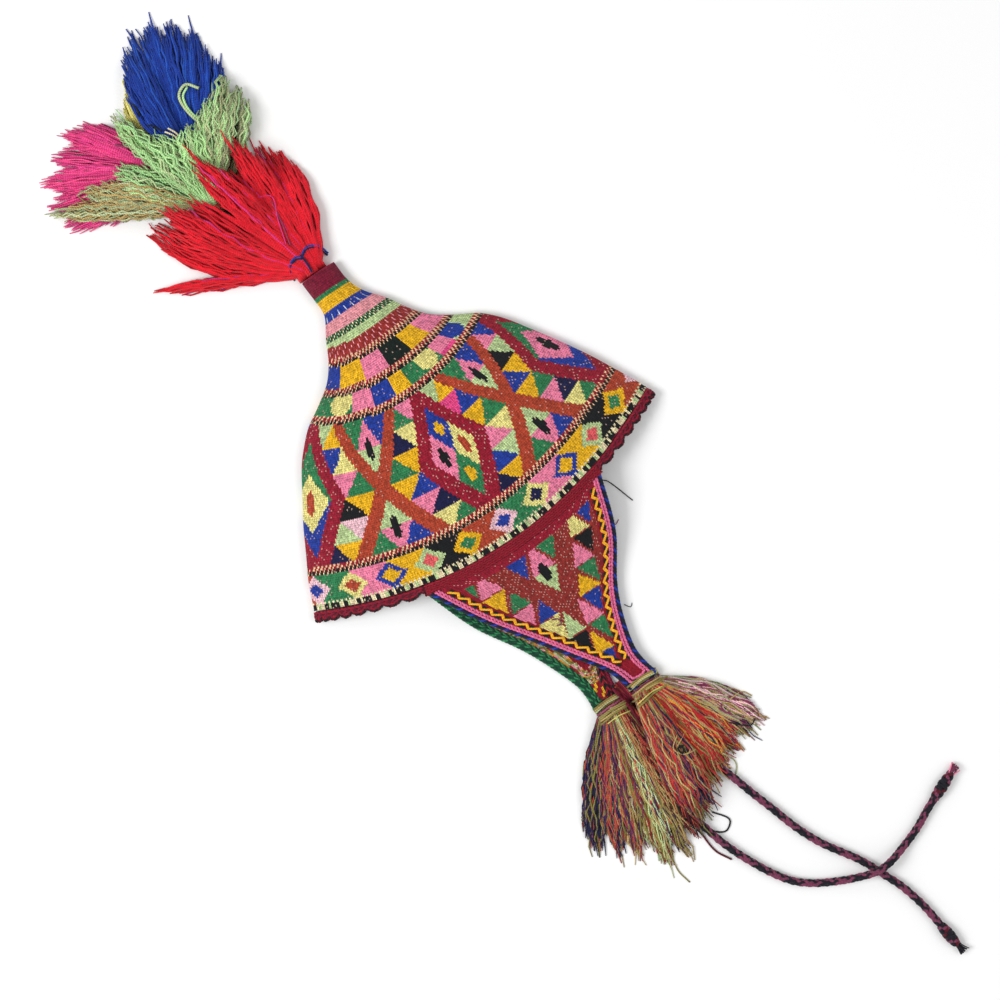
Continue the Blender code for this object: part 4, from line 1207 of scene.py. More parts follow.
# %% Rim edging
CORE_INSET = 0.0006  # the flat core stays inside the cords by this much
CORD_STEP = 0.0012
SCALLOP_CORD, SCALLOP_CORD_PITCH = 0.00118, 0.0050
SCALLOP_CORD_EDGE = 0.0011  # from the edging's sides to the middle of its outer cords
SEAM_CORD, SEAM_CORD_PITCH, SEAM_CORD_STEP = 0.00098, 0.0046, 0.00160
SEAM_CORDS, SEAM_CORD_EDGE = 5, 0.0009
CORD_SHADES = (("maroon", "flap_red"), ("maroon", "wine"), ("flap_red", "maroon"), ("wine", "black"))

scallops = round(row_length(1.0) / SCALLOP_PITCH)
turns = np.arange(scallops * 24) / (scallops * 24)
middle, along, out = rim_frame(turns)
scallop = SCALLOP_DEPTH * (np.abs(np.sin(np.pi * turns * scallops)) - 0.5)
flat = behind_flap(turns)
width = EDGING_WIDTH + np.where(flat, 0.0, scallop)
edge_start = middle + along * 2 * GAP
bundle = Bundle()
band(
    bundle, edge_start + along * CORE_INSET, edge_start + along * (width[:, None] - 2 * CORE_INSET), out,
    EDGING_THICKNESS - 2 * CORE_INSET, SHADES["wine"], True,
)
t = np.linspace(0.0, 1.0, round(row_length(1.0) / CORD_STEP))
middle_t, along_t, out_t = rim_frame(t)
width_t = EDGING_WIDTH + SCALLOP_DEPTH * (np.abs(np.sin(np.pi * t * scallops)) - 0.5)
flat_t = behind_flap(t)
start = 0
for stop in list(np.flatnonzero(np.diff(flat_t.astype(int))) + 1) + [len(t)]:
    if not flat_t[start] and stop - start > 3:
        for number, pair in enumerate(CORD_SHADES):
            for rise in (1, -1):
                reach = 2 * GAP + SCALLOP_CORD_EDGE + number * (width_t - 2 * SCALLOP_CORD_EDGE) / 3
                side = rise * (EDGING_THICKNESS / 2 - SCALLOP_CORD_EDGE)
                line = middle_t + along_t * reach[:, None] + out_t * side
                line = line[start:stop]
                line[:, 2] = np.maximum(line[:, 2], 0.0012)
                # painted shade: the cords on the edging's inner face are a fifth darker than those on its
                # outer face
                colours = [SHADES[shade] * (0.9 + 0.1 * rise) for shade in pair]
                hand = 1 if number % 2 else -1
                twist(bundle, line, SCALLOP_CORD, SCALLOP_CORD_PITCH, colours, hand=hand, sides=5)
    start = stop
for flap, upper in ((UPPER_FLAP, True), (LOWER_FLAP, False)):
    ends = np.sort(rim_turn([flap.left * RIM_WIDTH / 2, flap.right * RIM_WIDTH / 2], upper))
    run = np.linspace(ends[0], ends[1], 180)
    middle_f, along_f, out_f = rim_frame(run)
    for number in range(SEAM_CORDS):
        reach = 2 * GAP + SEAM_CORD_EDGE + number * SEAM_CORD_STEP
        line = middle_f + along_f * reach + out_f * (EDGING_THICKNESS / 2 - 0.0010)
        line[:, 2] = np.maximum(line[:, 2], 0.0011)
        colours = [tinted("crimson", 0.05), tinted("flap_red", 0.05) * 0.8]
        twist(bundle, line, SEAM_CORD, SEAM_CORD_PITCH, colours, hand=1 if number % 2 else -1, sides=5)
edging = bundle.make("crocheted_rim_edging", WOOL)
finish_piece(edging, "edging_yarn", "rim_edging")

# %% [markdown]
# Each ear flap is a knitted triangle with the same kind of stitches. It hangs from the edging on the crown
# and comes down to the table. Its chart is a list of patches: triangles down each side and in the middle.

# %% The flaps' shape
BINDING_WIDTH, BINDING_THICKNESS = 0.0055, 0.0034
FLAP_LENGTH, FLAP_STACK_GAP, FLAP_LANDING = 0.1345, 0.0008, 0.55
SEAM_GAP = 0.00045
FlapRow = namedtuple("FlapRow", "down spread sway")
FLAP_OUTLINE = [
    FlapRow(0.00, 1.000, 0.00),
    FlapRow(0.29, 0.730, 0.22),
    FlapRow(0.53, 0.400, 0.26),
    FlapRow(0.70, 0.205, 0.42),
    FlapRow(0.88, 0.035, 0.72),
    FlapRow(1.00, 0.000, 1.00),
]
FLAP_TIP_Y = crown_points(1.0, rim_turn([UPPER_FLAP.right * RIM_WIDTH / 2], True))[0, 1] - FLAP_LENGTH
FINE_DOWN = np.linspace(0, 1, 201)
places = [row.down for row in FLAP_OUTLINE]
FINE_SPREAD = [through(places, [row.spread for row in FLAP_OUTLINE], down) for down in FINE_DOWN]
FINE_SWAY = [through(places, [row.sway for row in FLAP_OUTLINE], down) for down in FINE_DOWN]


def flap_row(flap, down):
    """Middle X and half width of a flap, its binding included."""
    spread, sway = np.interp(down, FINE_DOWN, FINE_SPREAD), np.interp(down, FINE_DOWN, FINE_SWAY)
    rim_half = RIM_WIDTH / 2
    top_x = (flap.right + flap.left) / 2 * rim_half
    tip_half = flap.tip_half * rim_half
    half = tip_half + ((flap.right - flap.left) / 2 * rim_half - tip_half) * spread
    return top_x + (flap.tip * rim_half - top_x) * sway, half


def flap_points(flap, upper, across, down, beyond=0.0):
    """The middle of the flap's cloth. beyond is a distance past the panel's side."""
    across, down = np.broadcast_arrays(np.asarray(across, float), np.asarray(down, float))

    def x_at(share):
        middle, half = flap_row(flap, share)
        return middle + across * (half - BINDING_WIDTH - SEAM_GAP) + np.sign(across) * beyond

    middle, along, _ = rim_frame(rim_turn(x_at(0.0), upper))
    top = middle + along * (EDGING_WIDTH + 3 * GAP)
    y_top = top[:, 1] - WALL * np.abs(along[:, 2]) - SEAM_GAP
    y = y_top * (1 - down) + FLAP_TIP_Y * down
    rest = BINDING_THICKNESS * 1.5 + FLAP_STACK_GAP if upper else BINDING_THICKNESS / 2
    z = rest + (top[:, 2] - rest) * (1 - ease(down / FLAP_LANDING)) if upper else rest + 0 * y
    return np.stack([x_at(down), y, z], -1)


print("flap's tip at Y", round(FLAP_TIP_Y, 4))

# %% The flaps' chart
Patch = namedtuple("Patch", "shade corners")  # corners on the table, in millimetres
FLAP_PATCHES = [
    Patch("green", ((-44, -37), (-33, -37), (-38, -54))),
    Patch("pink", ((-31, -41), (-38, -57), (-20, -57))),
    Patch("yellow", ((-38, -58), (-20, -58), (-27, -73))),
    Patch("green", ((-18, -62), (-25, -76), (-10, -76))),
    Patch("pink", ((-26, -77), (-10, -77), (-16, -91))),
    Patch("blue", ((-5, -78), (-14, -92), (1, -92))),
    Patch("pale_yellow", ((-15, -92.5), (1, -92.5), (-3, -111))),
    Patch("light_green", ((4, -93), (-3, -111), (11, -111))),
    Patch("black", ((-3, -111.5), (11, -111.5), (6, -130))),
    Patch("yellow", ((12, -113), (6.5, -131), (20, -131))),
    Patch("blue", ((4, -126), (19, -131), (13, -149))),
    Patch("blue", ((-13, -43), (6, -43), (-3, -62))),
    Patch("pink", ((9, -42), (0.5, -63), (18.5, -63))),
    Patch("light_green", ((0.5, -63.5), (18.5, -63.5), (10, -81))),
    Patch("green", ((11, -43), (29, -43), (20, -61))),
    Patch("pale_yellow", ((43, -39), (36, -55), (51, -55))),
    Patch("blue", ((47, -39), (61, -39), (53, -54))),
    Patch("black", ((37, -56), (52, -56), (44, -71))),
    Patch("pink", ((36, -58), (27, -73.5), (43, -73.5))),
    Patch("green", ((28, -74), (43, -74), (37, -90))),
    Patch("yellow", ((27, -78), (19, -91.5), (36, -91.5))),
    Patch("blue", ((20, -92), (35, -92), (27, -108))),
    Patch("pink", ((17, -91), (12.5, -109.5), (27, -109.5))),
    Patch("green", ((14, -110), (27, -110), (22, -127))),
]
FLAP_OVAL = ((9, -64), (3.3, 6.5))


def inside(corners, x, y):
    """True where a point lies in a triangle."""
    signs = []
    for (ax, ay), (bx, by) in zip(corners, corners[1:] + corners[:1]):
        signs.append((bx - ax) * (y - ay) - (by - ay) * (x - ax) > 0)
    return all(signs) or not any(signs)


def upper_flap_shade(x, y, from_left, from_right, row, down):
    """The near flap's chart, in millimetres on the table."""
    if row < 5:
        return "crimson"
    (ox, oy), (wide, tall) = FLAP_OVAL
    if in_oval(x - ox, y - oy, wide, tall):
        return "black"
    if from_left > 15.5 - 3.0 * down and from_right > 12.5 - 2.0 * down:
        for patch in FLAP_PATCHES:
            if inside(patch.corners, x, y):
                return patch.shade
    return "flap_red" if from_left < 18.0 or from_right < 14.0 else "flap_rust"


def lower_flap_shade(x, y, from_left, from_right, row, down):
    """The far flap's chart. Only a strip along its left side shows."""
    edge = min(from_left, from_right)
    if edge < 8.0:
        return "dark_green"
    if edge < 14.0 and down < 0.9:
        return ("olive", "tan", "flap_rust", "sage", "olive", "orange", "salmon")[int(y / 1.1 + 3 * x) % 7]
    if edge < 26 or down > 0.85:
        return "yellow" if down > 0.90 and int(x / 2 + row / 3) % 3 == 0 else "flap_red"
    for patch in FLAP_PATCHES:
        if inside(patch.corners, x + 26, y):
            return patch.shade
    return "flap_rust"


print("flap patches:", len(FLAP_PATCHES))

# %% Ear flaps
FLAP_KNIT_ROWS = 100
FLAP_BREAKS = [0, 8, 18, 28, 38, 48, 58, 68, 78, 88, 100]


def knit_flap(name, flap, upper, chart):
    """One flap: its stitches on top, then its thickness."""

    def place(row, shares):
        points = flap_points(flap, upper, 2 * shares - 1, min(row, FLAP_KNIT_ROWS) / FLAP_KNIT_ROWS)
        return points + (0, 0, WALL / 2)

    def shade(row, share, leg):
        down = (row + 0.5) / FLAP_KNIT_ROWS
        point = flap_points(flap, upper, [2 * share - 1], down)[0]
        middle, half = flap_row(flap, down)
        x, y = point[0] / MM, point[1] / MM
        from_left, from_right = x - (middle - half) / MM, (middle + half) / MM - x
        return stitch_colour(chart(x, y, from_left, from_right, row, float(down)))

    counts = []
    for low, high in zip(FLAP_BREAKS, FLAP_BREAKS[1:]):
        _, half = flap_row(flap, (low + high) / 2 / FLAP_KNIT_ROWS)
        counts.append(round(2 * (half - BINDING_WIDTH - SEAM_GAP) / STITCH))
    knit = Knit(place, FLAP_BREAKS, counts, False, shade)
    corners = np.concatenate([np.array(face) for face in knit.faces])
    sizes = np.array([len(face) for face in knit.faces])
    points = np.concatenate(knit.points)
    piece = mesh_piece(
        name, points, corners, sizes, np.array(knit.colours), "CORNER", "stitches", knit.uvs, KNIT
    )
    sunk = np.concatenate(knit.sunk)
    soften(piece, sunk, FLAP_RIPPLE)
    bpy.ops.object.select_all(action="DESELECT")
    bpy.context.view_layer.objects.active = piece
    thick = piece.modifiers.new("thickness", "SOLIDIFY")
    thick.thickness, thick.offset = WALL, -1.0
    bpy.ops.object.modifier_apply(modifier="thickness")
    return piece


for name, flap, upper, chart, node in (
    ("knitted_upper_ear_flap", UPPER_FLAP, True, upper_flap_shade, "upper_ear_flap"),
    ("knitted_lower_ear_flap", LOWER_FLAP, False, lower_flap_shade, "lower_ear_flap"),
):
    piece = knit_flap(name, flap, upper, chart)
    finish_piece(piece, "flap_knit", node)
    area = sum(p.area for p in piece.data.polygons) / 2
    print(name, "cloth:", round(area, 4), "square metres")

# %% [markdown]
# Plaited bands bind the flaps' sides. The near flap has a twisted cord of dark yarns and blue outside and a
# raised pink chain inside it. A chain of loops seen from above is a row of V's, which two cords twisted to
# opposite hands give when they lie side by side. A yellow zigzag is stitched next to it. The far flap's band
# is green on the left and dark red on the right.

# %% Lines for the bindings
def outline_points(flap, upper, beyond, lift, steps=60):
    """Down the left side, across the tip and up the right side, at a distance past the panel's sides."""
    downs = np.linspace(0, 1, steps + 1)
    left = flap_points(flap, upper, -1.0 + 0 * downs, downs, beyond)
    right = flap_points(flap, upper, 1.0 + 0 * downs, downs[::-1], beyond)
    drop = np.clip((downs - 0.9) / 0.1, 0, 1) * max(0.0, beyond + SEAM_GAP)
    left[:, 1] -= drop
    right[:, 1] -= drop[::-1]
    points = np.concatenate([left, right])
    points[:, 2] += lift
    return points


def two_sides(left, right, size):
    """One colour for each point of an outline: the left side's, then the right side's."""
    return np.where(np.arange(size)[:, None] < size * 0.49, SHADES[left], SHADES[right])


OUTER_PITCH = 0.0088
CORE_THINNER = 0.001  # the core is thinner than the binding by this much


def bind(bundle, flap, upper, core, outer_colours, outer_radius):
    """A flat core along the flap's sides and a twisted cord on its outside."""
    inner = outline_points(flap, upper, SEAM_GAP, 0.0)
    outer = outline_points(flap, upper, SEAM_GAP + BINDING_WIDTH - CORE_INSET, 0.0)
    shades = two_sides(core, core if upper else "wine", len(inner))
    band(bundle, inner, outer, np.array((0.0, 0.0, 1.0)), BINDING_THICKNESS - CORE_THINNER, shades, False)
    reach = SEAM_GAP + BINDING_WIDTH - outer_radius
    line = smooth_line(outline_points(flap, upper, reach, 0.0, 24), 0.0009)
    colours = [two_sides(c, c if upper else "maroon", len(line)) for c in outer_colours]
    twist(bundle, line, outer_radius, OUTER_PITCH, colours, sides=7)


print("tip to rim:", round(FLAP_LENGTH * 1000), "mm")

# %% Near flap's binding
CHAIN_CORD, CHAIN_PITCH = 0.00112, 0.0052
CHAIN_DOT, DOT_STEP = 0.00035, 0.0026
bundle = Bundle()
bind(bundle, UPPER_FLAP, True, "navy", ("navy", "black_green", "navy", "blue"), 0.0017)
for reach, hand in ((0.0016, 1), (-0.0004, -1)):
    line = smooth_line(outline_points(UPPER_FLAP, True, reach, BINDING_THICKNESS / 2 - 0.0002, 24), 0.0007)
    colours = [SHADES["chain_pink"], SHADES["chain_pink"] * 0.82]
    twist(bundle, line, CHAIN_CORD, CHAIN_PITCH, colours, hand=hand, sides=6)
# painted shade: short wine dashes between the two pink cords stand for the shade in the chain's holes
dots = smooth_line(outline_points(UPPER_FLAP, True, 0.0006, BINDING_THICKNESS / 2 + 0.0006, 24), DOT_STEP)
for a, b in zip(dots, dots[1:]):
    dash = np.linspace(a * 0.65 + b * 0.35, a * 0.35 + b * 0.65, 3)
    bundle.strand(dash, CHAIN_DOT, SHADES["wine"], sides=4)
binding = bundle.make("plaited_upper_flap_binding", WOOL)
finish_piece(binding, "binding_yarn", "upper_flap_binding")

# %% Far flap's binding
bundle = Bundle()
bind(bundle, LOWER_FLAP, False, "dark_green", ("dark_green", "green", "dark_green"), 0.0016)
for reach, hand in ((0.0014, 1), (-0.0006, -1)):
    line = smooth_line(outline_points(LOWER_FLAP, False, reach, BINDING_THICKNESS / 2 - 0.0006, 24), 0.0009)
    colours = [two_sides("green", "flap_red", len(line)), two_sides("dark_green", "black", len(line))]
    twist(bundle, line, 0.0011, 0.0056, colours, hand=hand, sides=5)
binding = bundle.make("plaited_lower_flap_binding", WOOL)
finish_piece(binding, "binding_yarn", "lower_flap_binding")

# %% Zigzag stitching
ZIGZAG_STEP, ZIGZAG_SWING = 0.0040, 0.0017
ZIGZAG_LEFT, ZIGZAG_RIGHT = 0.0046, 0.0032  # from the binding to the zigzag's middle
ZIGZAG_THREAD, DARK_STROKE = 0.00056, 0.0010
bundle = Bundle()
for across, middle_in in ((-1.0, ZIGZAG_LEFT), (1.0, ZIGZAG_RIGHT)):
    downs = np.arange(0.03, 0.90, ZIGZAG_STEP / FLAP_LENGTH)
    swing = ZIGZAG_SWING * (1 - 2 * (np.arange(len(downs)) % 2))
    for shift, thread in ((0.0, "yellow"), (0.0009, "orange")):
        points = np.concatenate([
            flap_points(UPPER_FLAP, True, [across], [d], s - middle_in - shift) for d, s in zip(downs, swing)
        ])
        points[:, 2] += WALL / 2 + 0.0004
        fine = []
        for a, b in zip(points, points[1:]):
            share = np.linspace(0, 1, 5)[:-1, None]
            fine.extend(a * (1 - share) + b * share + np.array((0, 0, 0.0005)) * np.sin(np.pi * share))
        shade = tinted(thread, 0.03) * 0.6 + SHADES["yellow"] * 0.4
        bundle.strand(np.array(fine), ZIGZAG_THREAD, shade, sides=6)
    for d, s in zip(downs, swing):
        spot = flap_points(UPPER_FLAP, True, [across, across], [d - 0.009, d + 0.009], -middle_in - s * 0.9)
        spot[:, 2] += WALL / 2 + 0.0002
        bundle.strand(np.linspace(spot[0], spot[1], 4), DARK_STROKE, SHADES["black_green"], sides=5)
zigzag = bundle.make("zigzag_stitching", WOOL)
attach(zigzag, "root")
print("zigzag:", len(downs), "strokes a side")

# %% [markdown]
# A tassel is a hank of yarn, bound at its head and cut at its ends. Each solid tassel has a few flat locks,
# and these tables say where they lie. Lengths and widths are shares of the tassel's length, and angles are
# degrees to the left of its own way. A lock's root lies across the head, from -1 to 1, its bow is a share of
# its own reach, and its width multiplies the tassel's lock_width.

# %% Tassel tables
RED_TASSEL_LENGTH = 0.102
Head = namedtuple("Head", "width length")
Tassel = namedtuple("Tassel", "length head facing turn lock_width locks")
Lock = namedtuple("Lock", "root angle reach bow width")
UPPER_FLAP_TASSEL = Tassel(
    0.094, Head(0.2553, 0.0957), 180.0, 200.0, 0.1702,
    [
        Lock(-0.80, 15.0, 0.75, 0.05, 1.00), Lock(-0.65, 7.0, 0.75, 0.03, 1.05),
        Lock(-0.40, -1.0, 0.74, 0.02, 1.05), Lock(-0.15, -8.0, 0.74, 0.02, 1.05),
        Lock(0.15, -16.0, 0.83, 0.01, 1.05), Lock(0.45, -22.0, 0.90, 0.00, 1.05),
        Lock(0.70, -27.0, 0.95, -0.01, 1.00),
    ],
)
LOWER_FLAP_TASSEL = Tassel(
    0.108, Head(0.213, 0.0741), 180.0, 172.0, 0.1481,
    [
        Lock(-0.70, 11.0, 0.84, 0.01, 1.00), Lock(-0.45, 5.5, 0.90, 0.00, 1.05),
        Lock(-0.15, 0.5, 0.95, 0.00, 1.05), Lock(0.10, -5.0, 0.98, 0.00, 1.05),
        Lock(0.35, -12.5, 0.87, -0.01, 1.05), Lock(0.55, -20.0, 0.82, -0.02, 1.05),
        Lock(0.75, -28.0, 0.80, -0.03, 1.05),
    ],
)
RED_TASSEL = Tassel(
    RED_TASSEL_LENGTH, Head(0.2598, 0.1373), 0.0, 18.0, 0.1863,
    [
        Lock(-0.80, 45.0, 0.88, 0.00, 0.45), Lock(-0.75, 20.0, 0.96, 0.08, 1.10),
        Lock(-0.50, 14.0, 0.92, 0.05, 1.10), Lock(-0.30, 9.0, 0.80, 0.03, 1.10),
        Lock(0.00, -4.5, 0.95, 0.00, 0.95), Lock(0.15, -8.5, 0.79, 0.00, 1.10),
        Lock(0.35, -18.0, 0.89, 0.00, 1.00), Lock(0.55, -24.0, 0.81, -0.02, 1.00),
        Lock(0.70, -30.0, 0.72, -0.05, 0.80),
    ],
)
GREEN_TASSEL = Tassel(
    0.104, Head(0.2115, 0.2163), 6.0, 6.0, 0.1731,
    [
        Lock(-0.60, 51.5, 0.93, 0.00, 0.75), Lock(-0.55, 42.0, 0.73, 0.00, 1.05),
        Lock(-0.40, 28.0, 0.57, 0.00, 1.10), Lock(-0.20, 7.0, 0.78, 0.00, 0.80),
        Lock(0.00, -2.0, 0.50, 0.00, 1.10), Lock(0.20, -22.0, 0.47, 0.00, 1.10),
        Lock(0.35, -38.0, 0.59, 0.00, 1.10), Lock(0.50, -43.0, 0.72, 0.00, 1.05),
        Lock(0.60, -51.0, 0.67, -0.04, 1.05),
    ],
)
PINK_TASSEL = Tassel(
    0.076, Head(0.1974, 0.1184), 62.0, 62.0, 0.2171,
    [
        Lock(-0.60, 32.0, 0.56, 0.05, 0.90), Lock(-0.45, 23.0, 0.82, 0.04, 1.05),
        Lock(-0.20, 11.5, 0.89, 0.02, 1.05), Lock(0.00, -0.5, 0.92, 0.00, 1.05),
        Lock(0.20, -14.5, 0.84, -0.01, 1.10), Lock(0.45, -28.0, 0.77, -0.02, 1.05),
        Lock(0.65, -36.0, 0.65, -0.03, 0.90),
    ],
)
BLUE_TASSEL = Tassel(
    0.092, Head(0.25, 0.1087), -16.0, -16.0, 0.1957,
    [
        Lock(-0.85, 13.5, 0.65, 0.05, 0.90), Lock(-0.60, 12.0, 0.82, 0.03, 1.00),
        Lock(-0.30, 7.5, 0.90, 0.00, 1.05), Lock(0.00, 2.0, 0.94, 0.00, 1.05),
        Lock(0.25, -5.0, 0.90, 0.00, 1.05), Lock(0.45, -13.5, 0.81, -0.01, 1.05),
        Lock(0.65, -22.0, 0.65, -0.03, 1.00),
    ],
)
YELLOW_TASSEL = Tassel(
    0.060, Head(0.15, 0.15), 6.0, 6.0, 0.1833,
    [Lock(-0.35, -4.5, 0.78, 0.05, 1.00), Lock(0.35, -9.5, 0.97, 0.05, 1.00)],
)
LOCK_PLACES, LOCK_WIDTHS, LOCK_START = (0.0, 0.4, 0.8, 1.0), (0.42, 0.95, 1.05, 1.0), 0.1
NECK_END = np.array((NECK_LEAN, CROWN_HEIGHT))
PLACES = {
    "red": NECK_END + (-0.0275 * RED_TASSEL_LENGTH, SEAM_GAP + 0.1373 * RED_TASSEL_LENGTH / 2),
    "green": NECK_END + np.array((-0.3333, 0.7745)) * RED_TASSEL_LENGTH,
    "pink": NECK_END + np.array((-0.5392, 1.1569)) * RED_TASSEL_LENGTH,
    "blue": NECK_END + np.array((-0.2255, 1.1275)) * RED_TASSEL_LENGTH,
    "yellow": NECK_END + np.array((-0.3824, 1.1863)) * RED_TASSEL_LENGTH,
}
TIP_TASSELS = (("upper", UPPER_FLAP, UPPER_FLAP_TASSEL), ("lower", LOWER_FLAP, LOWER_FLAP_TASSEL))
for key, flap, tassel in TIP_TASSELS:
    y = FLAP_TIP_Y - BINDING_WIDTH - 3 * GAP - tassel.head.length * tassel.length / 2
    PLACES[key] = np.array((flap.tip * RIM_WIDTH / 2, y))
print("tassels:", ", ".join(PLACES))

# %% [markdown]
# A lock becomes dozens of strands that share its line and its room. Rays through the solid tell how high the
# yarn lies at each place, and each strand keeps its own height in between.

# %% Strands in a lock
def way_of(turn):
    """The way that many degrees counterclockwise from +Y, and the way to its right."""
    ahead = np.array((-math.sin(math.radians(turn)), math.cos(math.radians(turn))))
    return ahead, np.array((ahead[1], -ahead[0]))


def surface_of(node):
    """A solid's faces, ready for rays."""
    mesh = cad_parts[node].data
    corners = [v.co.copy() for v in mesh.vertices]
    return BVHTree.FromPolygons(corners, [tuple(p.vertices) for p in mesh.polygons])


SURFACES = {node: surface_of(node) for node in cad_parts}
DOWN = Vector((0, 0, -1))


def top_at(nodes, x, y):
    """The highest of these solids at a place, or None."""
    hits = [SURFACES[node].ray_cast(Vector((x, y, 1.0)), DOWN)[0] for node in nodes]
    heights = [hit.z for hit in hits if hit is not None]
    return max(heights) if heights else None


def lay(flat, own, below, radius, share):
    """Heights for a line on the table: share 0 is the bottom of the yarn's room and 1 its top."""
    heights = []
    for x, y in flat:
        floor_z = top_at(below, x, y)
        floor_z = 0.0 if floor_z is None else floor_z + GAP
        top = top_at([own], x, y)
        top = floor_z + 2 * radius if top is None else max(top, floor_z + 2 * radius)
        heights.append(floor_z + radius + (top - floor_z - 2 * radius) * share)
    heights = np.array(heights)
    for _ in range(2):
        padded = np.r_[heights[0], heights, heights[-1]]
        heights = np.maximum(heights * 0.35, (padded[:-2] + 2 * padded[1:-1] + padded[2:]) / 4)
    return np.c_[flat, heights]


# curl is the waves' height and curl_run their length; ragged is how unevenly the tips are cut
Look = namedtuple("Look", "radius strands curl curl_run ragged steps sides")


def lock_strands(bundle, own, below, place, tassel, lock, look, colours):
    """The strands of one lock, from behind the head over its top to their tips."""
    ahead_h, aside_h = way_of(tassel.facing)
    head_w, head_l = tassel.head.width * tassel.length, tassel.head.length * tassel.length
    ahead, right = way_of(tassel.turn + lock.angle)
    start = place + aside_h * (lock.root * head_w / 2) + ahead * (LOCK_START * head_l)
    reach = tassel.length * lock.reach
    tip = start + ahead * reach
    bend = (start + tip) / 2 - right * (2 * lock.bow * reach)
    full = tassel.length * tassel.lock_width * lock.width
    number = round(look.strands * lock.width)
    for _ in range(number):
        u = rng.uniform(-1, 1)
        clump = np.round(u * 2.5) / 2.5
        drift = np.clip(0.6 * u + 0.4 * clump + rng.normal(0, 0.16), -1.1, 1.1)
        end = 1.05 - look.ragged * abs(rng.normal(0, 0.5)) - 0.12 * drift * drift + 0.04 * math.cos(4 * clump)
        if rng.random() < 0.05:
            end += rng.uniform(0.04, 0.14)
        q = np.linspace(0.0, max(0.5, end), look.steps)[:, None]
        line = start * (1 - q) ** 2 + bend * 2 * q * (1 - q) + tip * q * q
        way = (bend - start) * (1 - q) + (tip - bend) * q
        way /= np.linalg.norm(way, axis=1)[:, None]
        side = np.stack([way[:, 1], -way[:, 0]], -1)
        wide = np.array([through(LOCK_PLACES, LOCK_WIDTHS, float(s)) for s in q[:, 0]]) * full / 2
        across = (u * (1 - q[:, 0]) + drift * q[:, 0]) * (wide - look.radius)
        run = q[:, 0] * reach / (look.curl_run * rng.uniform(0.75, 1.3)) * 2 * np.pi
        wave = look.curl * rng.uniform(0.4, 1.3) * np.sin(run + rng.uniform(0, 6.28))
        line = line + side * (across + wave * np.minimum(1, 3 * q[:, 0]))[:, None]
        back = np.linspace(-0.92, 0.0, 4)[:, None]
        over = place + aside_h * ((lock.root * 0.8 + 0.16 * u) * head_w / 2) + ahead_h * (back * head_l / 2)
        line = np.concatenate([over[:-1], line])
        share = 1.0 - 0.95 * rng.random() ** 1.6
        laid = lay(line, own, below, look.radius, share)
        taper = np.r_[np.ones(len(laid) - 2), 0.85, 0.55] * look.radius * rng.uniform(0.85, 1.15)
        colour = tinted(colours[rng.integers(len(colours))], 0.10)
        # painted shade: strands low in the lock are darker, down to 0.62 of their colour at the bottom
        shade = colour * (0.62 + 0.38 * share) * np.linspace(0.95, 1.04, len(laid))[:, None]
        bundle.strand(laid, taper, shade, sides=look.sides)


print("solids that rays can find:", len(SURFACES))

# %% The tassels' yarns
TasselLook = namedtuple("TasselLook", "key node below tassel look material")
TASSEL_LOOKS = [
    TasselLook(
        "pink", "pink_tassel", [],
        PINK_TASSEL, Look(0.00055, 74, 0.0008, 0.030, 0.26, 14, 4), ACRYLIC,
    ),
    TasselLook(
        "yellow", "yellow_tassel", ["pink_tassel"],
        YELLOW_TASSEL, Look(0.00065, 26, 0.0008, 0.022, 0.15, 12, 5), WOOL,
    ),
    TasselLook(
        "blue", "blue_tassel", ["pink_tassel", "yellow_tassel"],
        BLUE_TASSEL, Look(0.00062, 72, 0.0008, 0.022, 0.26, 16, 4), WOOL,
    ),
    TasselLook(
        "green", "green_tassel", ["pink_tassel", "yellow_tassel", "blue_tassel"],
        GREEN_TASSEL, Look(0.00060, 62, 0.0017, 0.013, 0.34, 17, 4), WOOL,
    ),
    TasselLook(
        "red", "red_tassel", ["pink_tassel", "yellow_tassel", "blue_tassel", "green_tassel"],
        RED_TASSEL, Look(0.00068, 72, 0.0009, 0.022, 0.32, 15, 4), WOOL,
    ),
    TasselLook(
        "lower", "lower_flap_tassel", ["upper_tie", "lower_tie"],
        LOWER_FLAP_TASSEL, Look(0.00054, 110, 0.0016, 0.026, 0.34, 14, 4), WOOL,
    ),
    TasselLook(
        "upper", "upper_flap_tassel", ["upper_tie", "lower_tie", "lower_flap_tassel"],
        UPPER_FLAP_TASSEL, Look(0.00054, 110, 0.0015, 0.026, 0.34, 14, 4), WOOL,
    ),
]
LOCK_COLOURS = {
    "red": [("red_yarn",) * 24 + ("magenta",)] * 9,
    "green": (
        [("tan", "olive_grey", "sage", "tan")] * 2 + [("mint", "mint", "sage")] * 5
        + [("sage", "olive_grey", "mint")] * 2
    ),
    "pink": [("dusty", "mauve", "magenta")] + [("magenta", "hot_pink", "magenta")] * 6,
    "blue": [("royal", "royal", "bright_blue", "royal")] * 7,
    "yellow": [("lime", "pale_yellow", "lime")] * 2,
    "upper": [
        ("pale_pink", "olive_grey", "tan", "dusty"), ("navy", "olive_grey", "dusty", "olive", "tan"),
        ("red", "coral", "purple", "tan", "orange"), ("red", "orange", "coral", "tan", "olive"),
        ("coral", "red", "tan", "flap_rust", "olive"), ("purple", "coral", "tan", "navy", "coral"),
        ("mauve", "coral", "red", "olive", "tan"),
    ],
    "lower": [
        ("coral", "wine", "crimson", "olive"), ("wine", "coral", "tan", "black"),
        ("olive", "tan", "coral", "purple"), ("sage", "tan", "light_green", "olive", "flap_rust"),
        ("olive", "tan", "mauve", "coral", "purple"), ("navy", "olive", "mauve", "coral", "tan"),
        ("black", "navy", "olive", "purple", "coral"),
    ],
}
print("locks:", sum(len(colours) for colours in LOCK_COLOURS.values()))

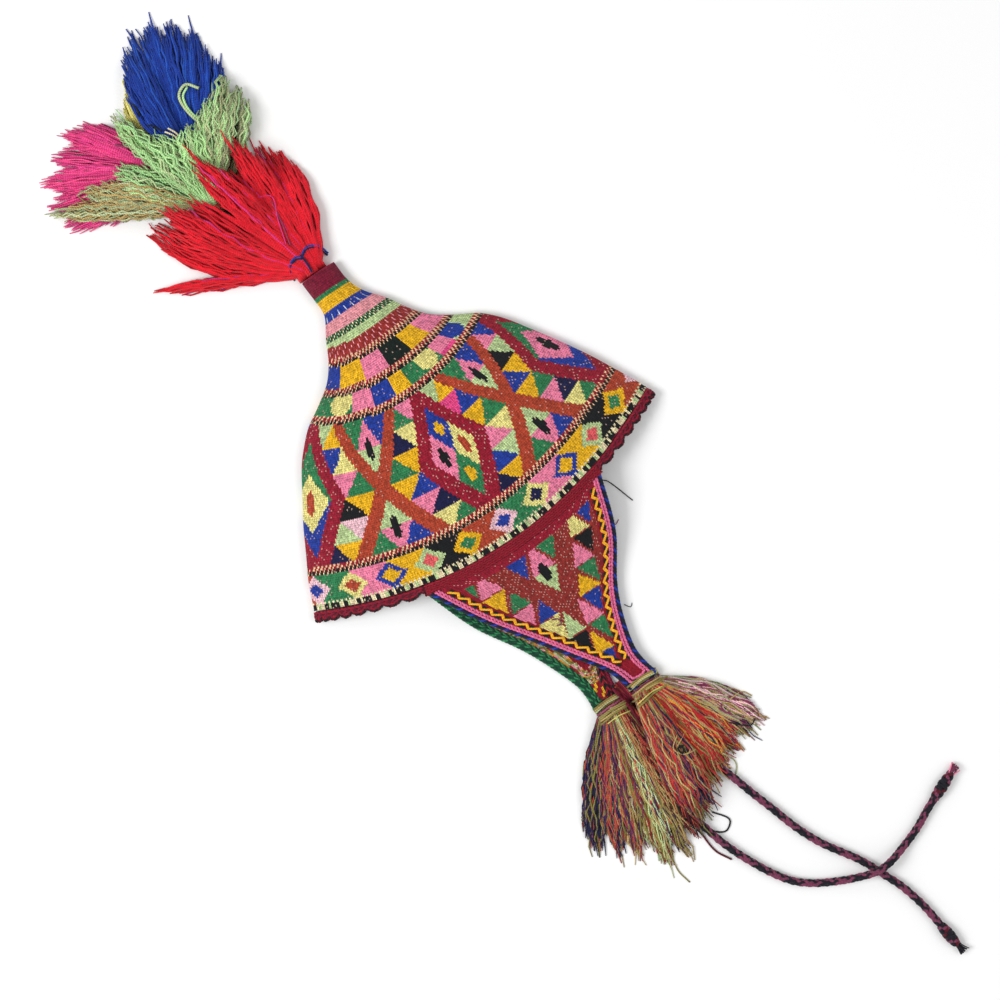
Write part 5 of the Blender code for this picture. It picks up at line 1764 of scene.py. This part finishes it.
# %% Lay the strands
bundles = {}
for key, node, below, tassel, look, material in TASSEL_LOOKS:
    bundle = bundles[key] = Bundle()
    for lock, colours in zip(tassel.locks, LOCK_COLOURS[key]):
        lock_strands(bundle, node, below, PLACES[key], tassel, lock, look, colours)
    print(key, "tassel:", len(bundle.caps), "strands")

# %% [markdown]
# Thread winds round the flaps' tips, dark red yarn fills the gap between them, and a few single threads lie
# over the tufts. All of them lie on the solid's surface and join the bundle of their tassel.

# %% Threads on the tassels
Thread = namedtuple("Thread", "key points shade radius")  # points on the table, in millimetres
THREADS = [
    Thread("red", ((-21, 192), (-19, 199), (-13, 202), (-8, 200)), "navy", 0.0007),
    Thread("red", ((-21, 194), (-18, 201), (-12, 203.5), (-7, 201)), "blue", 0.0006),
    Thread("red", ((-8, 189), (-7.5, 196), (-8, 203)), "navy", 0.0007),
    Thread("red", ((-8, 201), (-2, 204), (4, 201), (7, 194)), "navy", 0.0007),
    Thread("red", ((-7, 203), (-1, 205.5), (6, 201), (8, 195)), "blue", 0.0006),
    Thread("red", ((-12, 214), (-7, 232), (-2, 246), (-10, 251)), "magenta", 0.0004),
    Thread("red", ((-10, 212), (-6, 230), (-4, 244)), "dusty", 0.0004),
    Thread("upper", ((8, -170.5), (22, -168), (38, -169)), "olive", 0.0007),
    Thread("upper", ((11, -172), (22, -171), (35, -172.5)), "lime", 0.0004),
    Thread("upper", ((10, -174), (24, -172.5), (36, -173)), "olive", 0.0007),
    Thread("upper", ((26, -206), (18, -210), (16, -215), (21, -218), (25, -215)), "tan", 0.0004),
    Thread("upper", ((21, -204), (14, -210), (18, -217), (26, -219)), "tan", 0.0004),
    Thread("upper", ((18, -210), (20, -214), (17, -216), (17, -211), (21, -212)), "black", 0.0007),
    Thread("lower", ((-17, -171), (-4, -169), (8, -171)), "olive", 0.0007),
    Thread("lower", ((-13, -172.5), (-4, -172), (5, -174)), "lime", 0.0004),
    Thread("blue", ((-13, 309), (-17, 325), (-16, 337), (-8, 341), (-2, 334)), "sage", 0.0010),
    Thread("blue", ((-11, 308), (-15.5, 324), (-14, 335), (-8, 339)), "mint", 0.0008),
    Thread("blue", ((-37, 321), (-33, 314), (-36, 309), (-31, 304)), "cream", 0.0006),
    Thread("blue", ((-34, 322), (-31, 315), (-33, 308), (-28, 306)), "cream", 0.0006),
]


def thread_line(own, below, points, radius):
    """A thread that lies on a piece and follows points on the table."""
    route = smooth_line(np.array(points) * MM, 0.0016)
    line = lay(route, own, below, 0.0, 1.0)
    line[:, 2] += radius * 0.9
    return line


TIP_SHADES = ("olive", "tan", "sage", "olive", "dusty", "tan", "olive", "tan")
TIP_TOP, TIP_STEP = -160, 1.3  # in millimetres, as the threads' points are
TIP_THREAD = 0.00075


def wind_tip(key, flap, half):
    """Winds a flap's tip with thread from the cloth down to the tassel's head."""
    covered = [key + "_flap_binding", key + "_ear_flap"]
    middle = flap.tip * RIM_WIDTH / 2 / MM
    for number, shade in enumerate(TIP_SHADES):
        y = TIP_TOP - TIP_STEP * number
        bow = rng.uniform(0.6, 1.8)
        points = ((middle - half, y + rng.uniform(-0.5, 0.5)), (middle, y + bow), (middle + half, y))
        line = thread_line(key + "_flap_tassel", covered, points, TIP_THREAD)
        bundles[key].strand(line, TIP_THREAD, tinted(shade, 0.14), sides=5)


wind_tip("upper", UPPER_FLAP, 11.5)
wind_tip("lower", LOWER_FLAP, 10.5)
GAP_STRANDS, GAP_STRAND = 26, 0.0008
GAP_SHADES = ("wine", "flap_red", "coral", "black", "maroon")
for number in range(GAP_STRANDS):
    x = rng.uniform(3.5, 13.0)
    points = ((x - 1, -153 - rng.uniform(0, 5)), (x + 0.5, -166), (x + rng.uniform(-1, 3), -186))
    line = thread_line("lower_flap_tassel", ["lower_flap_binding"], points, GAP_STRAND)
    line[:, 2] += rng.uniform(0.0, 0.002)
    shade = GAP_SHADES[number % len(GAP_SHADES)]
    bundles["lower"].strand(line, GAP_STRAND, tinted(shade, 0.1), sides=4)
for thread in THREADS:
    row = next(row for row in TASSEL_LOOKS if row.key == thread.key)
    line = thread_line(row.node, row.below, thread.points, thread.radius)
    bundles[thread.key].strand(line, thread.radius, tinted(thread.shade, 0.04), sides=6)
print("threads:", len(THREADS))

# %% [markdown]
# Old wool sheds. A few threads have come loose at the flap and at the top tassels, and stick out over the
# table.

# %% Loose threads
LOOSE = [
    Thread("upper_flap_binding", ((74, -34), (78.4, -38), (85.1, -58)), "tie_black", 0.0004),
    Thread("upper_flap_binding", ((60, -62), (66, -65), (70, -63.5)), "dusty", 0.0003),
    Thread("upper_flap_binding", ((41, -113), (44, -117), (46, -115)), "black_green", 0.0003),
    Thread("upper_ear_flap", ((-5, -94), (-1, -96), (-1.5, -100), (-4.5, -99)), "mauve", 0.0005),
    Thread("blue_tassel", ((-66, 338), (-52, 335), (-47, 337), (-44, 345), (-46, 352)), "black", 0.0006),
    Thread("blue_tassel", ((-60, 341), (-52, 333), (-43, 330), (-38, 322)), "black", 0.0006),
    Thread("pink_tassel", ((-70, 334), (-61, 325), (-55, 318)), "dusty", 0.0007),
    Thread("lower_flap_tassel", ((12, -262), (19, -273), (12, -278), (2, -270)), "black", 0.0006),
    Thread("lower_flap_tassel", ((-2, -262), (-1, -284), (5, -296)), "wine", 0.0007),
    Thread("lower_flap_tassel", ((-24, -262), (-29, -281), (-27, -293)), "olive", 0.0005),
    Thread("upper_flap_tassel", ((40, -232), (44, -243), (38, -252)), "olive_grey", 0.0005),
    Thread("upper_flap_tassel", ((55, -218), (66, -228), (71, -226)), "black", 0.0005),
    Thread("upper_flap_tassel", ((64, -205), (74, -206), (78, -212)), "tan", 0.0005),
]
bundle = Bundle()
for thread in LOOSE:
    line = thread_line(thread.key, [], thread.points, thread.radius)
    bundle.strand(line, thread.radius, tinted(thread.shade, 0.05), sides=5)
loose = bundle.make("loose_threads", WOOL)
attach(loose, "root")
print("loose threads:", len(LOOSE))

# %% [markdown]
# Each bundle now holds all its strands and threads, and becomes one piece.

# %% Tassels
for key, node, below, tassel, look, material in TASSEL_LOOKS:
    piece = bundles[key].make("yarn_" + node, material)
    finish_piece(piece, "mixed_yarn" if key in ("upper", "lower") else key + "_yarn", node)
